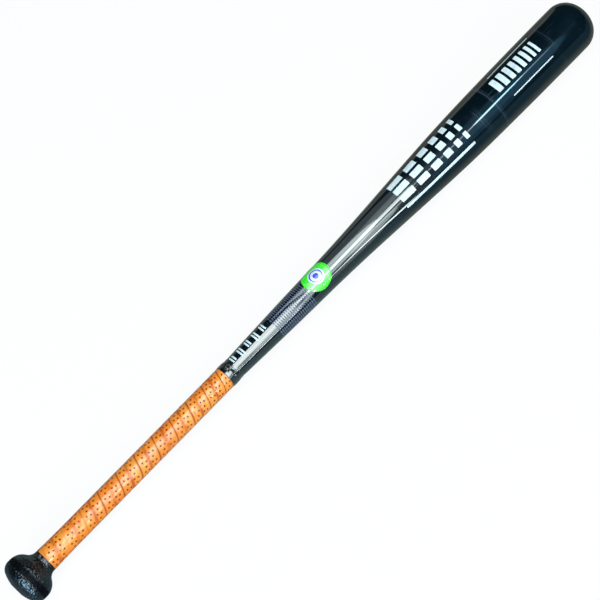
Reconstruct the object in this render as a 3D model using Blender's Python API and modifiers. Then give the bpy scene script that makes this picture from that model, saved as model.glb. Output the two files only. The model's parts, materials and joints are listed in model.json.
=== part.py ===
"""One-piece aluminium ball bat with a wound grip, lying on a level surface.

The bat lies along +X, knob end at low X, with +Z up. Every piece is turned about, or wound on, one
axis. Stations are distances along that axis from the flat end of the knob, and each piece has its
local Z on the axis and its local X towards the surface that the bat lies on.
"""

import math

import bmesh
import bpy
import numpy as np

MM = 0.001

# Clearance between pieces that touch, and the fineness of round pieces
FIT = 0.3 * MM
SIDES = 32
INNER_SIDES = 24
TAPER_STEPS = 6
ARC_STEPS = 5

# Tube: outside diameters, from the knob end to the head
HANDLE_DIAMETER = 22.3 * MM
HANDLE_LENGTH = 292.0 * MM
FLARE_LENGTH = 138.0 * MM
FLARE_START_SLOPE = 0.085
FLARE_END_DIAMETER = 31.4 * MM
FLARE_END_SLOPE = 0.040
TAPER_LENGTH = 240.0 * MM
TAPER_END_DIAMETER = 54.1 * MM
TAPER_END_SLOPE = 0.042
SWELL_LENGTH = 136.0 * MM
BARREL_DIAMETER = 57.0 * MM
BARREL_LAND = 9.8 * MM
HEAD_CORNER_RADIUS = 23.0 * MM
HEAD_CROWN_RADIUS = 36.0 * MM

# Tube: walls and the hole left where the head is spun shut
HANDLE_WALL = 2.6 * MM
BARREL_WALL = 1.9 * MM
HEAD_WALL = 3.0 * MM
HEAD_HOLE_DIAMETER = 9.0 * MM

# Plug in the head hole
HEAD_PLUG_FLANGE = 3.5 * MM
HEAD_PLUG_FLANGE_THICKNESS = 2.0 * MM

# Foam that deadens the ring of the barrel
DAMPER_LENGTH = 60.0 * MM
DAMPER_FROM_LAND = 20.0 * MM
DAMPER_CORNER = 3.0 * MM

# Knob
KNOB_DIAMETER = 51.9 * MM
KNOB_DOME_RADIUS = 48.0 * MM
KNOB_CORNER_RADIUS = 11.0 * MM
KNOB_RIM_WIDTH = 2.8 * MM
KNOB_SHOULDER_RADIUS = 17.0 * MM
KNOB_NECK_FILLET = 10.0 * MM
KNOB_NECK_WALL = 1.5 * MM
KNOB_NECK_LENGTH = 1.2 * MM
KNOB_END_WALL = 7.7 * MM
KNOB_HOLE_DIAMETER = 14.6 * MM

# Weld bead between the knob's neck and the tube
BEAD_LENGTH = 11.0 * MM
BEAD_HEIGHT = 0.6 * MM
BEAD_TOE = 0.15 * MM

# Rubber plug in the knob, with the slug and stopper in the handle behind it
PLUG_LIP_LENGTH = 2.4 * MM
SLUG_LENGTH = 22.0 * MM
SLUG_CHAMFER = 1.0 * MM
STOPPER_LENGTH = 25.0 * MM

# Grip tape, wound with open seams
GRIP_PITCH = 24.6 * MM
GRIP_SEAM = 0.55 * MM
GRIP_THICKNESS = 0.7 * MM
GRIP_EDGE_THICKNESS = 0.4 * MM
GRIP_EDGE_BEVEL = 1.2 * MM
GRIP_VALLEY_DEPTH = 0.22 * MM
GRIP_VALLEY_WIDTH = 2.8 * MM
GRIP_DRAPE_LENGTH = 40.0 * MM
GRIP_STEPS = 24
GRIP_LENGTH = 260.0 * MM
GRIP_START_TURN = math.radians(258)

# Finish tape over the end of the grip
BAND_OVERLAP = 5.5 * MM
BAND_SLOPE_LENGTH = 4.5 * MM
BAND_TAIL_LENGTH = 2.8 * MM
BAND_THICKNESS = 0.25 * MM

# Round sticker on the flare
STICKER_DIAMETER = 32.5 * MM
STICKER_FROM_GRIP = 130.3 * MM
STICKER_THICKNESS = 0.2 * MM
STICKER_TURN = math.radians(185)
STICKER_RINGS = 5
STICKER_SPOKES = 32

# Stations along the tube that follow from the sizes above
FLARE_START = HANDLE_LENGTH
TAPER_START = FLARE_START + FLARE_LENGTH
SWELL_START = TAPER_START + TAPER_LENGTH
LAND_START = SWELL_START + SWELL_LENGTH
LAND_END = LAND_START + BARREL_LAND
BARREL_RADIUS = BARREL_DIAMETER / 2
HEAD_RISE = math.sqrt((HEAD_CROWN_RADIUS - HEAD_CORNER_RADIUS) ** 2 - (BARREL_RADIUS - HEAD_CORNER_RADIUS) ** 2)
CROWN_CENTRE = LAND_END - HEAD_RISE
LENGTH = CROWN_CENTRE + HEAD_CROWN_RADIUS


def hermite(share, length, start, end, start_slope, end_slope):
    """Smooth step from one diameter to the next, with the given slopes at its two ends."""
    square, cube = share**2, share**3
    return (
        (2 * cube - 3 * square + 1) * start
        + (cube - 2 * square + share) * length * start_slope
        + (3 * square - 2 * cube) * end
        + (cube - square) * length * end_slope
    )


def tube_radius(station):
    """Outside radius of the tube at a station, up to the end of the barrel's land."""
    sections = (
        (TAPER_START, FLARE_LENGTH, HANDLE_DIAMETER, FLARE_END_DIAMETER, FLARE_START_SLOPE, FLARE_END_SLOPE),
        (SWELL_START, TAPER_LENGTH, FLARE_END_DIAMETER, TAPER_END_DIAMETER, FLARE_END_SLOPE, TAPER_END_SLOPE),
        (LAND_START, SWELL_LENGTH, TAPER_END_DIAMETER, BARREL_DIAMETER, TAPER_END_SLOPE, 0.0),
    )
    if station <= FLARE_START:
        return HANDLE_DIAMETER / 2
    for section_end, length, start, end, start_slope, end_slope in sections:
        if station < section_end:
            share = 1 - (section_end - station) / length
            return hermite(share, length, start, end, start_slope, end_slope) / 2
    return BARREL_RADIUS


def tube_bore(station):
    """Inside radius of the tube: the wall thins evenly from the handle to the barrel."""
    share = min(max((station - FLARE_START) / (SWELL_START - FLARE_START), 0.0), 1.0)
    return tube_radius(station) - HANDLE_WALL - share * (BARREL_WALL - HANDLE_WALL)


def around(radius, sides=SIDES):
    """Corner radius of a many-sided bore whose flats clear a round of the given radius by the fit."""
    return (radius + FIT) / math.cos(math.pi / sides)


def arc(centre, radius, start, end, steps=ARC_STEPS):
    """Points of an arc in the plane of radius and station, between two angles from the radius direction."""
    return [
        (centre[0] + radius * math.cos(angle), centre[1] + radius * math.sin(angle))
        for angle in np.linspace(start, end, steps + 1).tolist()
    ]


def spaced(start, end, steps):
    """Evenly spaced stations from start to end, both included."""
    return np.linspace(start, end, steps + 1).tolist()


def finish_of(name, colour, roughness, metallic):
    """A material with the finish of one piece."""
    finish = bpy.data.materials.new(name)
    finish.use_nodes = True
    surface = finish.node_tree.nodes["Principled BSDF"]
    surface.inputs["Base Color"].default_value = (*colour, 1.0)
    surface.inputs["Roughness"].default_value = roughness
    surface.inputs["Metallic"].default_value = metallic
    finish.diffuse_color = (*colour, 1.0)
    return finish


class Bat:
    """The collection, the shared axis and the list of pieces placed on it."""

    def __init__(self):
        for old in list(bpy.data.objects):
            bpy.data.objects.remove(old, do_unlink=True)
        self.pieces = bpy.data.collections.new("ball_bat")
        self.cutters = bpy.data.collections.new("cutters")
        bpy.context.scene.collection.children.link(self.pieces)
        bpy.context.scene.collection.children.link(self.cutters)
        self.axis = self.lay_axis()

    def lay_axis(self):
        """Empty whose local Z is the bat's axis, tilted so that knob rim and barrel both touch the floor."""
        knob_contact = knob_rim_stations()[1]
        flat_share = math.cos(math.pi / SIDES)
        drop = (BARREL_RADIUS - KNOB_DIAMETER / 2) * flat_share
        tilt = math.atan2(drop, LAND_START - knob_contact)
        lift = BARREL_RADIUS * flat_share * math.cos(tilt) - LAND_START * math.sin(tilt)
        axis = bpy.data.objects.new("bat_axis", None)
        axis.location = (-LENGTH / 2 * math.cos(tilt), 0.0, lift)
        axis.rotation_euler = (0.0, math.pi / 2 - tilt, 0.0)
        self.pieces.objects.link(axis)
        return axis

    def place(self, name, mesh, finish, turn=0.0):
        """A new object on the bat's axis, turned about it."""
        piece = bpy.data.objects.new(name, mesh)
        piece.data.materials.append(finish)
        piece.parent = self.axis
        piece.rotation_euler.z = turn
        self.pieces.objects.link(piece)
        return piece

    def turned(self, name, profile, finish, sides=SIDES, ring=False):
        """A turned piece. Its profile runs down the outer side, and back up the bore if it is a ring."""
        count = len(profile)
        edges = [(k, k + 1) for k in range(count - 1)]
        if ring:
            edges.append((count - 1, 0))
        mesh = bpy.data.meshes.new(name)
        mesh.from_pydata([(radius, 0.0, station) for radius, station in profile], edges, [])
        piece = self.place(name, mesh, finish, turn=math.pi / sides)
        screw = piece.modifiers.new("turn", "SCREW")
        screw.axis = "Z"
        screw.angle = 2 * math.pi
        screw.steps = sides
        screw.render_steps = sides
        screw.use_merge_vertices = True
        screw.merge_threshold = 0.00001
        screw.use_smooth_shade = True
        return piece


def add_bat_tube(bat, finish):
    """Seamless tube: handle, flare, taper and barrel, spun to a domed head with a small hole."""
    hole = HEAD_HOLE_DIAMETER / 2
    bore = BARREL_RADIUS - BARREL_WALL
    inner_crown = HEAD_CROWN_RADIUS - HEAD_WALL
    inner_corner = HEAD_CORNER_RADIUS - BARREL_WALL
    inner_rise = math.sqrt((inner_crown - inner_corner) ** 2 - (bore - inner_corner) ** 2)
    join = math.atan2(HEAD_RISE, BARREL_RADIUS - HEAD_CORNER_RADIUS)
    inner_join = math.atan2(inner_rise, bore - inner_corner)
    corner = (BARREL_RADIUS - HEAD_CORNER_RADIUS, LAND_END)
    inner_corner_centre = (bore - inner_corner, CROWN_CENTRE + inner_rise)
    crown = (0.0, CROWN_CENTRE)
    stations = (
        spaced(LAND_START, SWELL_START, TAPER_STEPS)
        + spaced(SWELL_START, TAPER_START, 2 * TAPER_STEPS)[1:]
        + spaced(TAPER_START, FLARE_START, TAPER_STEPS)[1:]
        + [knob_stations()["tube_end"]]
    )
    outside = arc(crown, HEAD_CROWN_RADIUS, math.acos(hole / HEAD_CROWN_RADIUS), join)
    outside += arc(corner, HEAD_CORNER_RADIUS, join, 0.0)[1:]
    outside += [(tube_radius(station), station) for station in stations]
    inside = [(tube_bore(station), station) for station in reversed(stations)]
    inside += arc(inner_corner_centre, inner_corner, 0.0, inner_join)
    inside += arc(crown, inner_crown, inner_join, math.acos(hole / inner_crown))[1:]
    bat.turned("bat_tube", outside + inside, finish, ring=True)


def add_head_plug(bat, finish):
    """Rubber plug that closes the hole in the head, held by a flange inside."""
    shank = HEAD_HOLE_DIAMETER / 2 - FIT
    flange = HEAD_HOLE_DIAMETER / 2 + HEAD_PLUG_FLANGE
    crown = HEAD_CROWN_RADIUS
    inner_crown = HEAD_CROWN_RADIUS - HEAD_WALL
    seat = CROWN_CENTRE + math.sqrt(inner_crown**2 - flange**2) - FIT
    profile = arc((0.0, CROWN_CENTRE), crown, math.pi / 2, math.acos(shank / crown), 2)
    profile += [(shank, seat), (flange, seat), (flange, seat - HEAD_PLUG_FLANGE_THICKNESS)]
    profile += [(0.0, seat - HEAD_PLUG_FLANGE_THICKNESS)]
    bat.turned("head_plug", profile, finish, sides=INNER_SIDES)


def add_sound_damper(bat, finish):
    """Foam filling pressed into the barrel, following its bore."""
    top = LAND_START - DAMPER_FROM_LAND
    bottom = top - DAMPER_LENGTH
    stations = spaced(top - DAMPER_CORNER, bottom + DAMPER_CORNER, 2)
    profile = [(0.0, top), (tube_bore(top) - FIT - DAMPER_CORNER, top)]
    profile += [(tube_bore(station) - FIT, station) for station in stations]
    profile += [(tube_bore(bottom) - FIT - DAMPER_CORNER, bottom), (0.0, bottom)]
    bat.turned("sound_damper", profile, finish, sides=INNER_SIDES)


def knob_rim_stations():
    """Stations between which the knob has its full diameter."""
    inner = KNOB_DIAMETER / 2 - KNOB_CORNER_RADIUS
    reach = KNOB_DOME_RADIUS - KNOB_CORNER_RADIUS
    dome_centre = math.sqrt(KNOB_DOME_RADIUS**2 - (KNOB_HOLE_DIAMETER / 2) ** 2)
    start = dome_centre - math.sqrt(reach**2 - inner**2)
    return start, start + KNOB_RIM_WIDTH


def knob_stations():
    """Stations of the knob's parts that other pieces seat against."""
    rim_end = knob_rim_stations()[1]
    neck = HANDLE_DIAMETER / 2 + FIT + KNOB_NECK_WALL
    fillet_reach = KNOB_SHOULDER_RADIUS + KNOB_NECK_FILLET
    across = neck + KNOB_NECK_FILLET - (KNOB_DIAMETER / 2 - KNOB_SHOULDER_RADIUS)
    fillet_centre = rim_end + math.sqrt(fillet_reach**2 - across**2)
    return {
        "neck_radius": neck,
        "fillet_centre": fillet_centre,
        "fillet_angle": math.atan2(fillet_centre - rim_end, across),
        "neck_end": fillet_centre + KNOB_NECK_LENGTH,
        "tube_end": KNOB_END_WALL + FIT,
    }


def add_knob(bat, finish):
    """Knob: domed end, full rim, rounded shoulder and a neck that blends into the handle."""
    rim = KNOB_DIAMETER / 2
    hole = KNOB_HOLE_DIAMETER / 2
    bore = HANDLE_DIAMETER / 2 + FIT
    rim_start, rim_end = knob_rim_stations()
    at = knob_stations()
    shoulder = (rim - KNOB_SHOULDER_RADIUS, rim_end)
    corner = (rim - KNOB_CORNER_RADIUS, rim_start)
    dome_centre = math.sqrt(KNOB_DOME_RADIUS**2 - hole**2)
    fillet = (at["neck_radius"] + KNOB_NECK_FILLET, at["fillet_centre"])
    corner_angle = math.atan2(rim_start - dome_centre, rim - KNOB_CORNER_RADIUS)
    profile = [(at["neck_radius"], at["neck_end"])]
    profile += arc(fillet, KNOB_NECK_FILLET, math.pi, math.pi + at["fillet_angle"])
    profile += arc(shoulder, KNOB_SHOULDER_RADIUS, at["fillet_angle"], 0.0)[1:]
    profile += arc(corner, KNOB_CORNER_RADIUS, 0.0, corner_angle)
    profile += arc((0.0, dome_centre), KNOB_DOME_RADIUS, corner_angle, -math.acos(hole / KNOB_DOME_RADIUS), 2)[1:]
    profile += [(hole, KNOB_END_WALL), (bore, KNOB_END_WALL), (bore, at["neck_end"])]
    bat.turned("knob", profile, finish, ring=True)


def bead_radius(station):
    """Outside radius of the weld bead, which thins to a toe away from the knob."""
    start = knob_stations()["neck_end"] + FIT
    share = min(max((station - start) / BEAD_LENGTH, 0.0), 1.0)
    return HANDLE_DIAMETER / 2 + FIT + BEAD_TOE + (BEAD_HEIGHT - BEAD_TOE) * (1 - share) ** 2


def add_knob_weld(bat, finish):
    """Weld bead, ground to a shallow fillet, that joins the knob's neck to the tube."""
    start = knob_stations()["neck_end"] + FIT
    bore = HANDLE_DIAMETER / 2 + FIT
    stations = spaced(start + BEAD_LENGTH, start, 4)
    profile = [(bead_radius(station), station) for station in stations]
    profile += [(bore, start), (bore, start + BEAD_LENGTH)]
    bat.turned("knob_weld", profile, finish, ring=True)


def inner_stations():
    """Ends of the pieces stacked in the handle's bore: plug lip, slug and stopper."""
    lip_start = KNOB_END_WALL + FIT
    lip_end = lip_start + PLUG_LIP_LENGTH
    slug_end = lip_end + FIT + SLUG_LENGTH
    return lip_start, lip_end, slug_end, slug_end + FIT + STOPPER_LENGTH


def add_knob_plug(bat, finish):
    """Rubber plug in the knob's end with a flat outer face, snapped in behind the end wall."""
    lip_start, lip_end, _, _ = inner_stations()
    shank = KNOB_HOLE_DIAMETER / 2 - FIT
    lip = tube_bore(0.0) - FIT
    profile = [(0.0, lip_end), (lip, lip_end), (lip, lip_start), (shank, lip_start), (shank, 0.0), (0.0, 0.0)]
    bat.turned("knob_plug", profile, finish, sides=INNER_SIDES)


def add_balance_slug(bat, finish):
    """Steel slug in the handle end that balances the barrel."""
    _, lip_end, slug_end, _ = inner_stations()
    start = lip_end + FIT
    radius = tube_bore(0.0) - FIT
    profile = [(0.0, slug_end), (radius - SLUG_CHAMFER, slug_end), (radius, slug_end - SLUG_CHAMFER)]
    profile += [(radius, start + SLUG_CHAMFER), (radius - SLUG_CHAMFER, start), (0.0, start)]
    bat.turned("balance_slug", profile, finish, sides=INNER_SIDES)


def add_handle_stopper(bat, finish):
    """Foam stopper that keeps the slug against the plug."""
    _, _, slug_end, stopper_end = inner_stations()
    radius = tube_bore(0.0) - FIT
    start = slug_end + FIT
    profile = [(0.0, stopper_end), (radius, stopper_end), (radius, start), (0.0, start)]
    bat.turned("handle_stopper", profile, finish, sides=INNER_SIDES)


def grip_ends():
    """First and last station of the grip tape."""
    start = knob_stations()["neck_end"] + FIT
    return start, start + GRIP_LENGTH


def grip_bore(station):
    """Corner radius of the grip tape's inner face, which lies over the weld bead and the tube."""
    start, end = grip_ends()
    station = min(max(station, start), end)
    slack = max(1 - (station - start) / GRIP_DRAPE_LENGTH, 0.0) ** 2
    under = tube_radius(station) + slack * (FIT + BEAD_HEIGHT)
    if station < start + BEAD_LENGTH:
        under = max(under, bead_radius(station))
    return around(under, GRIP_STEPS)


def grip_section(bottom):
    """Section of the tape: square inner corners, bevelled edges and a shallow valley along its middle."""
    width = GRIP_PITCH - GRIP_SEAM
    middle = width / 2
    outline = (
        (0.0, 0.0),
        (GRIP_EDGE_THICKNESS, 0.0),
        (GRIP_THICKNESS, GRIP_EDGE_BEVEL),
        (GRIP_THICKNESS, middle - GRIP_VALLEY_WIDTH / 2),
        (GRIP_THICKNESS - GRIP_VALLEY_DEPTH, middle),
        (GRIP_THICKNESS, middle + GRIP_VALLEY_WIDTH / 2),
        (GRIP_THICKNESS, width - GRIP_EDGE_BEVEL),
        (GRIP_EDGE_THICKNESS, width),
        (0.0, width),
        (0.0, width * 2 / 3),
        (0.0, width / 3),
    )
    return [(height, 0.0, bottom + along) for height, along in outline]


def add_grip_tape(bat, finish):
    """One strip of padded tape wound up the handle, its two ends trimmed square to the axis."""
    start, end = grip_ends()
    turns = math.ceil(GRIP_LENGTH / GRIP_PITCH) + 1
    reference = grip_bore(end)
    form = bmesh.new()
    side = form.verts.layers.int.new("side")
    section = grip_section(start - GRIP_PITCH)
    corners = [form.verts.new((reference + height, 0.0, station)) for height, _, station in section]
    for corner in corners[:2]:
        corner[side] = 1
    for corner in corners[7:9]:
        corner[side] = 2
    face = form.faces.new(corners)
    bmesh.ops.spin(
        form,
        geom=[face],
        cent=(0.0, 0.0, 0.0),
        axis=(0.0, 0.0, 1.0),
        dvec=(0.0, 0.0, GRIP_PITCH / GRIP_STEPS),
        angle=-2 * math.pi * turns,
        steps=GRIP_STEPS * turns,
    )
    for vertex in form.verts:
        flat = vertex.co.xy
        lay = flat.length - reference + grip_bore(vertex.co.z)
        vertex.co.xy = flat.normalized() * lay
    bmesh.ops.recalc_face_normals(form, faces=form.faces)
    lower = np.array([vertex.co[:] for vertex in form.verts if vertex[side] == 1])
    upper = np.array([vertex.co[:] for vertex in form.verts if vertex[side] == 2])
    apart = np.linalg.norm(lower[:, None] - upper[None], axis=2).min()
    print(f"grip tape: {turns} turns before trimming, least gap to itself {apart / MM:.2f} mm")
    mesh = bpy.data.meshes.new("grip_tape")
    form.to_mesh(mesh)
    form.free()
    tape = bat.place("grip_tape", mesh, finish, turn=GRIP_START_TURN)
    trim = tape.modifiers.new("trim", "BOOLEAN")
    trim.operation = "INTERSECT"
    trim.solver = "EXACT"
    trim.object = grip_trim(bat, start, end)


def grip_trim(bat, start, end):
    """Cylinder that keeps only the tape between the grip's two square ends."""
    bpy.ops.mesh.primitive_cylinder_add(vertices=SIDES, radius=KNOB_DIAMETER / 2, depth=end - start)
    cutter = bpy.context.active_object
    cutter.name = "grip_trim"
    for collection in list(cutter.users_collection):
        collection.objects.unlink(cutter)
    bat.cutters.objects.link(cutter)
    cutter.parent = bat.axis
    cutter.location = (0.0, 0.0, (start + end) / 2)
    cutter.hide_render = True
    cutter.display_type = "WIRE"
    return cutter


def add_finish_band(bat, finish):
    """Vinyl tape over the end of the grip, sloping down from it onto the tube."""
    _, grip_end = grip_ends()
    over_grip = around(grip_bore(grip_end) + GRIP_THICKNESS)
    slope_start = grip_end + FIT
    slope_end = slope_start + BAND_SLOPE_LENGTH
    tail_end = slope_end + BAND_TAIL_LENGTH
    inside = [
        (over_grip, grip_end - BAND_OVERLAP),
        (over_grip, slope_start),
        (around(tube_radius(slope_end)), slope_end),
        (around(tube_radius(tail_end)), tail_end),
    ]
    outside = [(radius + BAND_THICKNESS, station) for radius, station in reversed(inside)]
    bat.turned("finish_band", outside + inside, finish, ring=True)


def add_round_sticker(bat, finish):
    """Thin round sticker, wrapped onto the flare above the grip."""
    centre = grip_ends()[1] + STICKER_FROM_GRIP
    step = STICKER_DIAMETER / 2 / STICKER_RINGS
    form = bmesh.new()
    spoke = [form.verts.new((step * ring, 0.0, 0.0)) for ring in range(STICKER_RINGS + 1)]
    edges = [form.edges.new(pair) for pair in zip(spoke, spoke[1:])]
    bmesh.ops.spin(
        form,
        geom=edges,
        cent=(0.0, 0.0, 0.0),
        axis=(0.0, 0.0, 1.0),
        angle=2 * math.pi,
        steps=STICKER_SPOKES,
    )
    bmesh.ops.remove_doubles(form, verts=form.verts, dist=FIT / 10)
    form.normal_update()
    bmesh.ops.reverse_faces(form, faces=[face for face in form.faces if face.normal.z < 0])
    for vertex in form.verts:
        across, along, _ = vertex.co
        under = tube_radius(centre + along)
        radius = (under + FIT) / math.cos(step / under / 2)
        turn = STICKER_TURN + across / radius
        vertex.co = (radius * math.cos(turn), radius * math.sin(turn), centre + along)
    mesh = bpy.data.meshes.new("round_sticker")
    form.to_mesh(mesh)
    form.free()
    mesh.shade_smooth()
    sticker = bat.place("round_sticker", mesh, finish)
    solidify = sticker.modifiers.new("thickness", "SOLIDIFY")
    solidify.thickness = STICKER_THICKNESS
    solidify.offset = 1.0


def main():
    """Makes the bat and prints its main sizes."""
    bat = Bat()
    paint = finish_of("gloss_black_paint", (0.010, 0.014, 0.020), 0.16, 0.0)
    bare = finish_of("bare_aluminium", (0.72, 0.73, 0.75), 0.38, 1.0)
    rubber = finish_of("black_rubber", (0.018, 0.018, 0.020), 0.60, 0.0)
    steel = finish_of("steel", (0.42, 0.42, 0.43), 0.40, 1.0)
    foam = finish_of("cream_foam", (0.80, 0.70, 0.45), 0.90, 0.0)
    dark_foam = finish_of("grey_foam", (0.10, 0.10, 0.11), 0.90, 0.0)
    orange = finish_of("orange_grip", (0.95, 0.32, 0.06), 0.34, 0.0)
    vinyl = finish_of("black_vinyl", (0.015, 0.015, 0.017), 0.35, 0.0)
    green = finish_of("green_sticker", (0.04, 0.85, 0.03), 0.30, 0.0)
    add_bat_tube(bat, paint)
    add_head_plug(bat, rubber)
    add_sound_damper(bat, foam)
    add_knob(bat, paint)
    add_knob_weld(bat, bare)
    add_knob_plug(bat, rubber)
    add_balance_slug(bat, steel)
    add_handle_stopper(bat, dark_foam)
    add_grip_tape(bat, orange)
    add_finish_band(bat, vinyl)
    add_round_sticker(bat, green)
    print(f"bat: {LENGTH / MM:.1f} mm long, neck of the knob ends at {knob_stations()['neck_end'] / MM:.1f} mm")


main()
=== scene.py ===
"""Looks of a one-piece aluminium ball bat with a wound grip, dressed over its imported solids.

Every piece is a surface worked out on a grid of numbers. Stations are distances along the bat's axis
from the flat end of the knob. Turns are angles about that axis: zero points down to the floor, and
they grow counter-clockwise for someone who looks from the knob towards the head. Lengths are metres.
"""

import json
import logging
import math
from collections.abc import Callable, Sequence
from dataclasses import dataclass
from enum import Enum
from functools import partialmethod

import bmesh
import bpy
import numpy as np
from mathutils import Matrix

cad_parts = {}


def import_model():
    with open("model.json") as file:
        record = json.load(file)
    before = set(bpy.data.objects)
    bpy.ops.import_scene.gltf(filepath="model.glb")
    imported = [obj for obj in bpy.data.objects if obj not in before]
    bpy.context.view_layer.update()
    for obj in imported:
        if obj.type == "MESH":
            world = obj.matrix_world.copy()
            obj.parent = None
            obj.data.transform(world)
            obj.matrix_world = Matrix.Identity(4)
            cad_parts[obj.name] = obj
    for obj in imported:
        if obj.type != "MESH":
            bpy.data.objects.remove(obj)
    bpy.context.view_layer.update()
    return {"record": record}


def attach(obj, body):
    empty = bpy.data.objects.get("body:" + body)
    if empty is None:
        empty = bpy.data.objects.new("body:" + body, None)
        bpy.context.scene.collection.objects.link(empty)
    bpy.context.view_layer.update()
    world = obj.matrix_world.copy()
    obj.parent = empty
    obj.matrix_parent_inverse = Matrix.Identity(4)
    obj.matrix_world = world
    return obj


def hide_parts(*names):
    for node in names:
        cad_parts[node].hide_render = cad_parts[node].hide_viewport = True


LOG = logging.getLogger("bat")
MM = 0.001
FRONT = math.radians(210)

MERGE_DISTANCE = 2e-6
ON_AXIS = 1e-9
HARD_EDGE = 40.0
BEVEL_BULGE = 0.29
MAP_MARGINS = (0.01, 0.03)

Colour = tuple[float, float, float]
Socket = bpy.types.NodeSocket
Source = Socket | float
Piece = bpy.types.Object


# ---------------------------------------------------------------- surfaces from whole arrays


@dataclass(frozen=True)
class BatAxis:
    """The line that every piece is turned about or wound on.

    Args:
        origin: The middle of the knob's flat end.
        heading: Unit vector from the knob to the head.
    """

    origin: np.ndarray
    heading: np.ndarray

    @classmethod
    def from_record(cls, record: dict) -> "BatAxis":
        """Reads the axis from the record's knob mount, which points out of the knob.

        Args:
            record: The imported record.

        Returns:
            The axis.
        """
        mount = next(m for m in record["mounts"] if m["name"] == "knob_end")
        heading = -np.array(mount["axis"], float)
        return cls(np.array(mount["pos_m"], float), heading / np.linalg.norm(heading))

    def place(self, radius: np.ndarray, turn: np.ndarray, station: np.ndarray) -> np.ndarray:
        """Points at a radius, turn and station, which are broadcast together.

        The point is origin + station * heading + radius * (cos turn * down + sin turn * side).

        Args:
            radius: Distance from the axis.
            turn: Angle about the axis, in radians.
            station: Distance along the axis.

        Returns:
            Array of points with the broadcast shape and a last axis of three.
        """
        radius, turn, station = np.broadcast_arrays(radius, turn, station)
        down = np.array([self.heading[2], 0.0, -self.heading[0]])
        side = np.array([0.0, 1.0, 0.0])
        across = np.cos(turn)[..., None] * down + np.sin(turn)[..., None] * side
        return self.origin + station[..., None] * self.heading + radius[..., None] * across


def smooth(value: np.ndarray, start: float, end: float) -> np.ndarray:
    """Smooth step: with x the clamped share of the way from start to end, x * x * (3 - 2 x)."""
    share = np.clip((value - start) / (end - start), 0.0, 1.0)
    return share * share * (3 - 2 * share)


def ripples(points: np.ndarray, size: float, waves: int, seed: int) -> np.ndarray:
    """Even random relief: the sum of plane waves in random directions, over the root of their count.

    Args:
        points: Points, or flat positions, on the last axis.
        size: Mean length of a wave.
        waves: How many waves are summed.
        seed: Seed of the directions and phases.

    Returns:
        Values about zero with a spread of about 0.7.
    """
    random = np.random.default_rng(seed)
    heading = random.normal(size=(waves, points.shape[-1]))
    pace = (2 * math.pi / size) * random.uniform(0.6, 1.6, (waves, 1))
    heading *= pace / np.linalg.norm(heading, axis=1)[:, None]
    return np.cos(points @ heading.T + random.uniform(0, 2 * math.pi, waves)).sum(-1) / math.sqrt(waves)


def around(radius: float, turn: np.ndarray, along: np.ndarray) -> np.ndarray:
    """Points (radius * cos turn, radius * sin turn, along), on which waves join up after one turn."""
    return np.stack([np.cos(turn) * radius, np.sin(turn) * radius, along], -1)


def arc(centre: tuple[float, float], radius: float, start: float, end: float, steps: int) -> np.ndarray:
    """Arc in the plane of radius and station: centre + radius * (cos angle, sin angle).

    Args:
        centre: Radius and station of the centre.
        radius: Radius of the arc.
        start: First angle from the radius direction.
        end: Last angle.
        steps: Number of segments.

    Returns:
        Array of (radius, station) rows.
    """
    angle = np.linspace(start, end, steps + 1)
    return np.stack([centre[0] + radius * np.cos(angle), centre[1] + radius * np.sin(angle)], -1)


def line(*corners: tuple[float, float], bevel: float = 0.0, steps: int = 1) -> np.ndarray:
    """Straight profile through corners, with each inner corner cut by a slightly bulging bevel.

    Args:
        corners: Radius and station of each corner.
        bevel: How far from the corner the bevel starts, or zero for sharp corners.
        steps: Segments of each straight stretch.

    Returns:
        Array of (radius, station) rows.
    """
    points = np.array(corners, float)
    if bevel:
        before, after = points[:-2] - points[1:-1], points[2:] - points[1:-1]
        before *= bevel / np.linalg.norm(before, axis=1)[:, None]
        after *= bevel / np.linalg.norm(after, axis=1)[:, None]
        middle = points[1:-1] + (before + after) * BEVEL_BULGE
        cut = np.stack([points[1:-1] + before, middle, points[1:-1] + after], 1).reshape(-1, 2)
        points = np.vstack([points[:1], cut, points[-1:]])
    share = np.linspace(0, 1, steps, endpoint=False)[None, :, None]
    along = points[:-1, None] * (1 - share) + points[1:, None] * share
    return np.vstack([along.reshape(-1, 2), points[-1:]])


class Wrap(Enum):
    """Which sides of a grid join up."""

    ROUND = (False, True)
    RING = (True, True)


def linked(name: str, data: bpy.types.ID) -> Piece:
    """A new object in the scene, at the origin.

    Args:
        name: Its name.
        data: Its mesh, lamp or camera.

    Returns:
        The object.
    """
    made = bpy.data.objects.new(name, data)
    bpy.context.scene.collection.objects.link(made)
    return made


def smoothed(name: str, mesh: bpy.types.Mesh, crease: float = HARD_EDGE) -> Piece:
    """The object of a mesh that is shaded smooth.

    Args:
        name: Its name.
        mesh: The mesh.
        crease: Edges sharper than this many degrees stay hard.

    Returns:
        The object.
    """
    mesh.shade_smooth()
    mesh.set_sharp_from_angle(angle=math.radians(crease))
    return linked(name, mesh)


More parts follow.
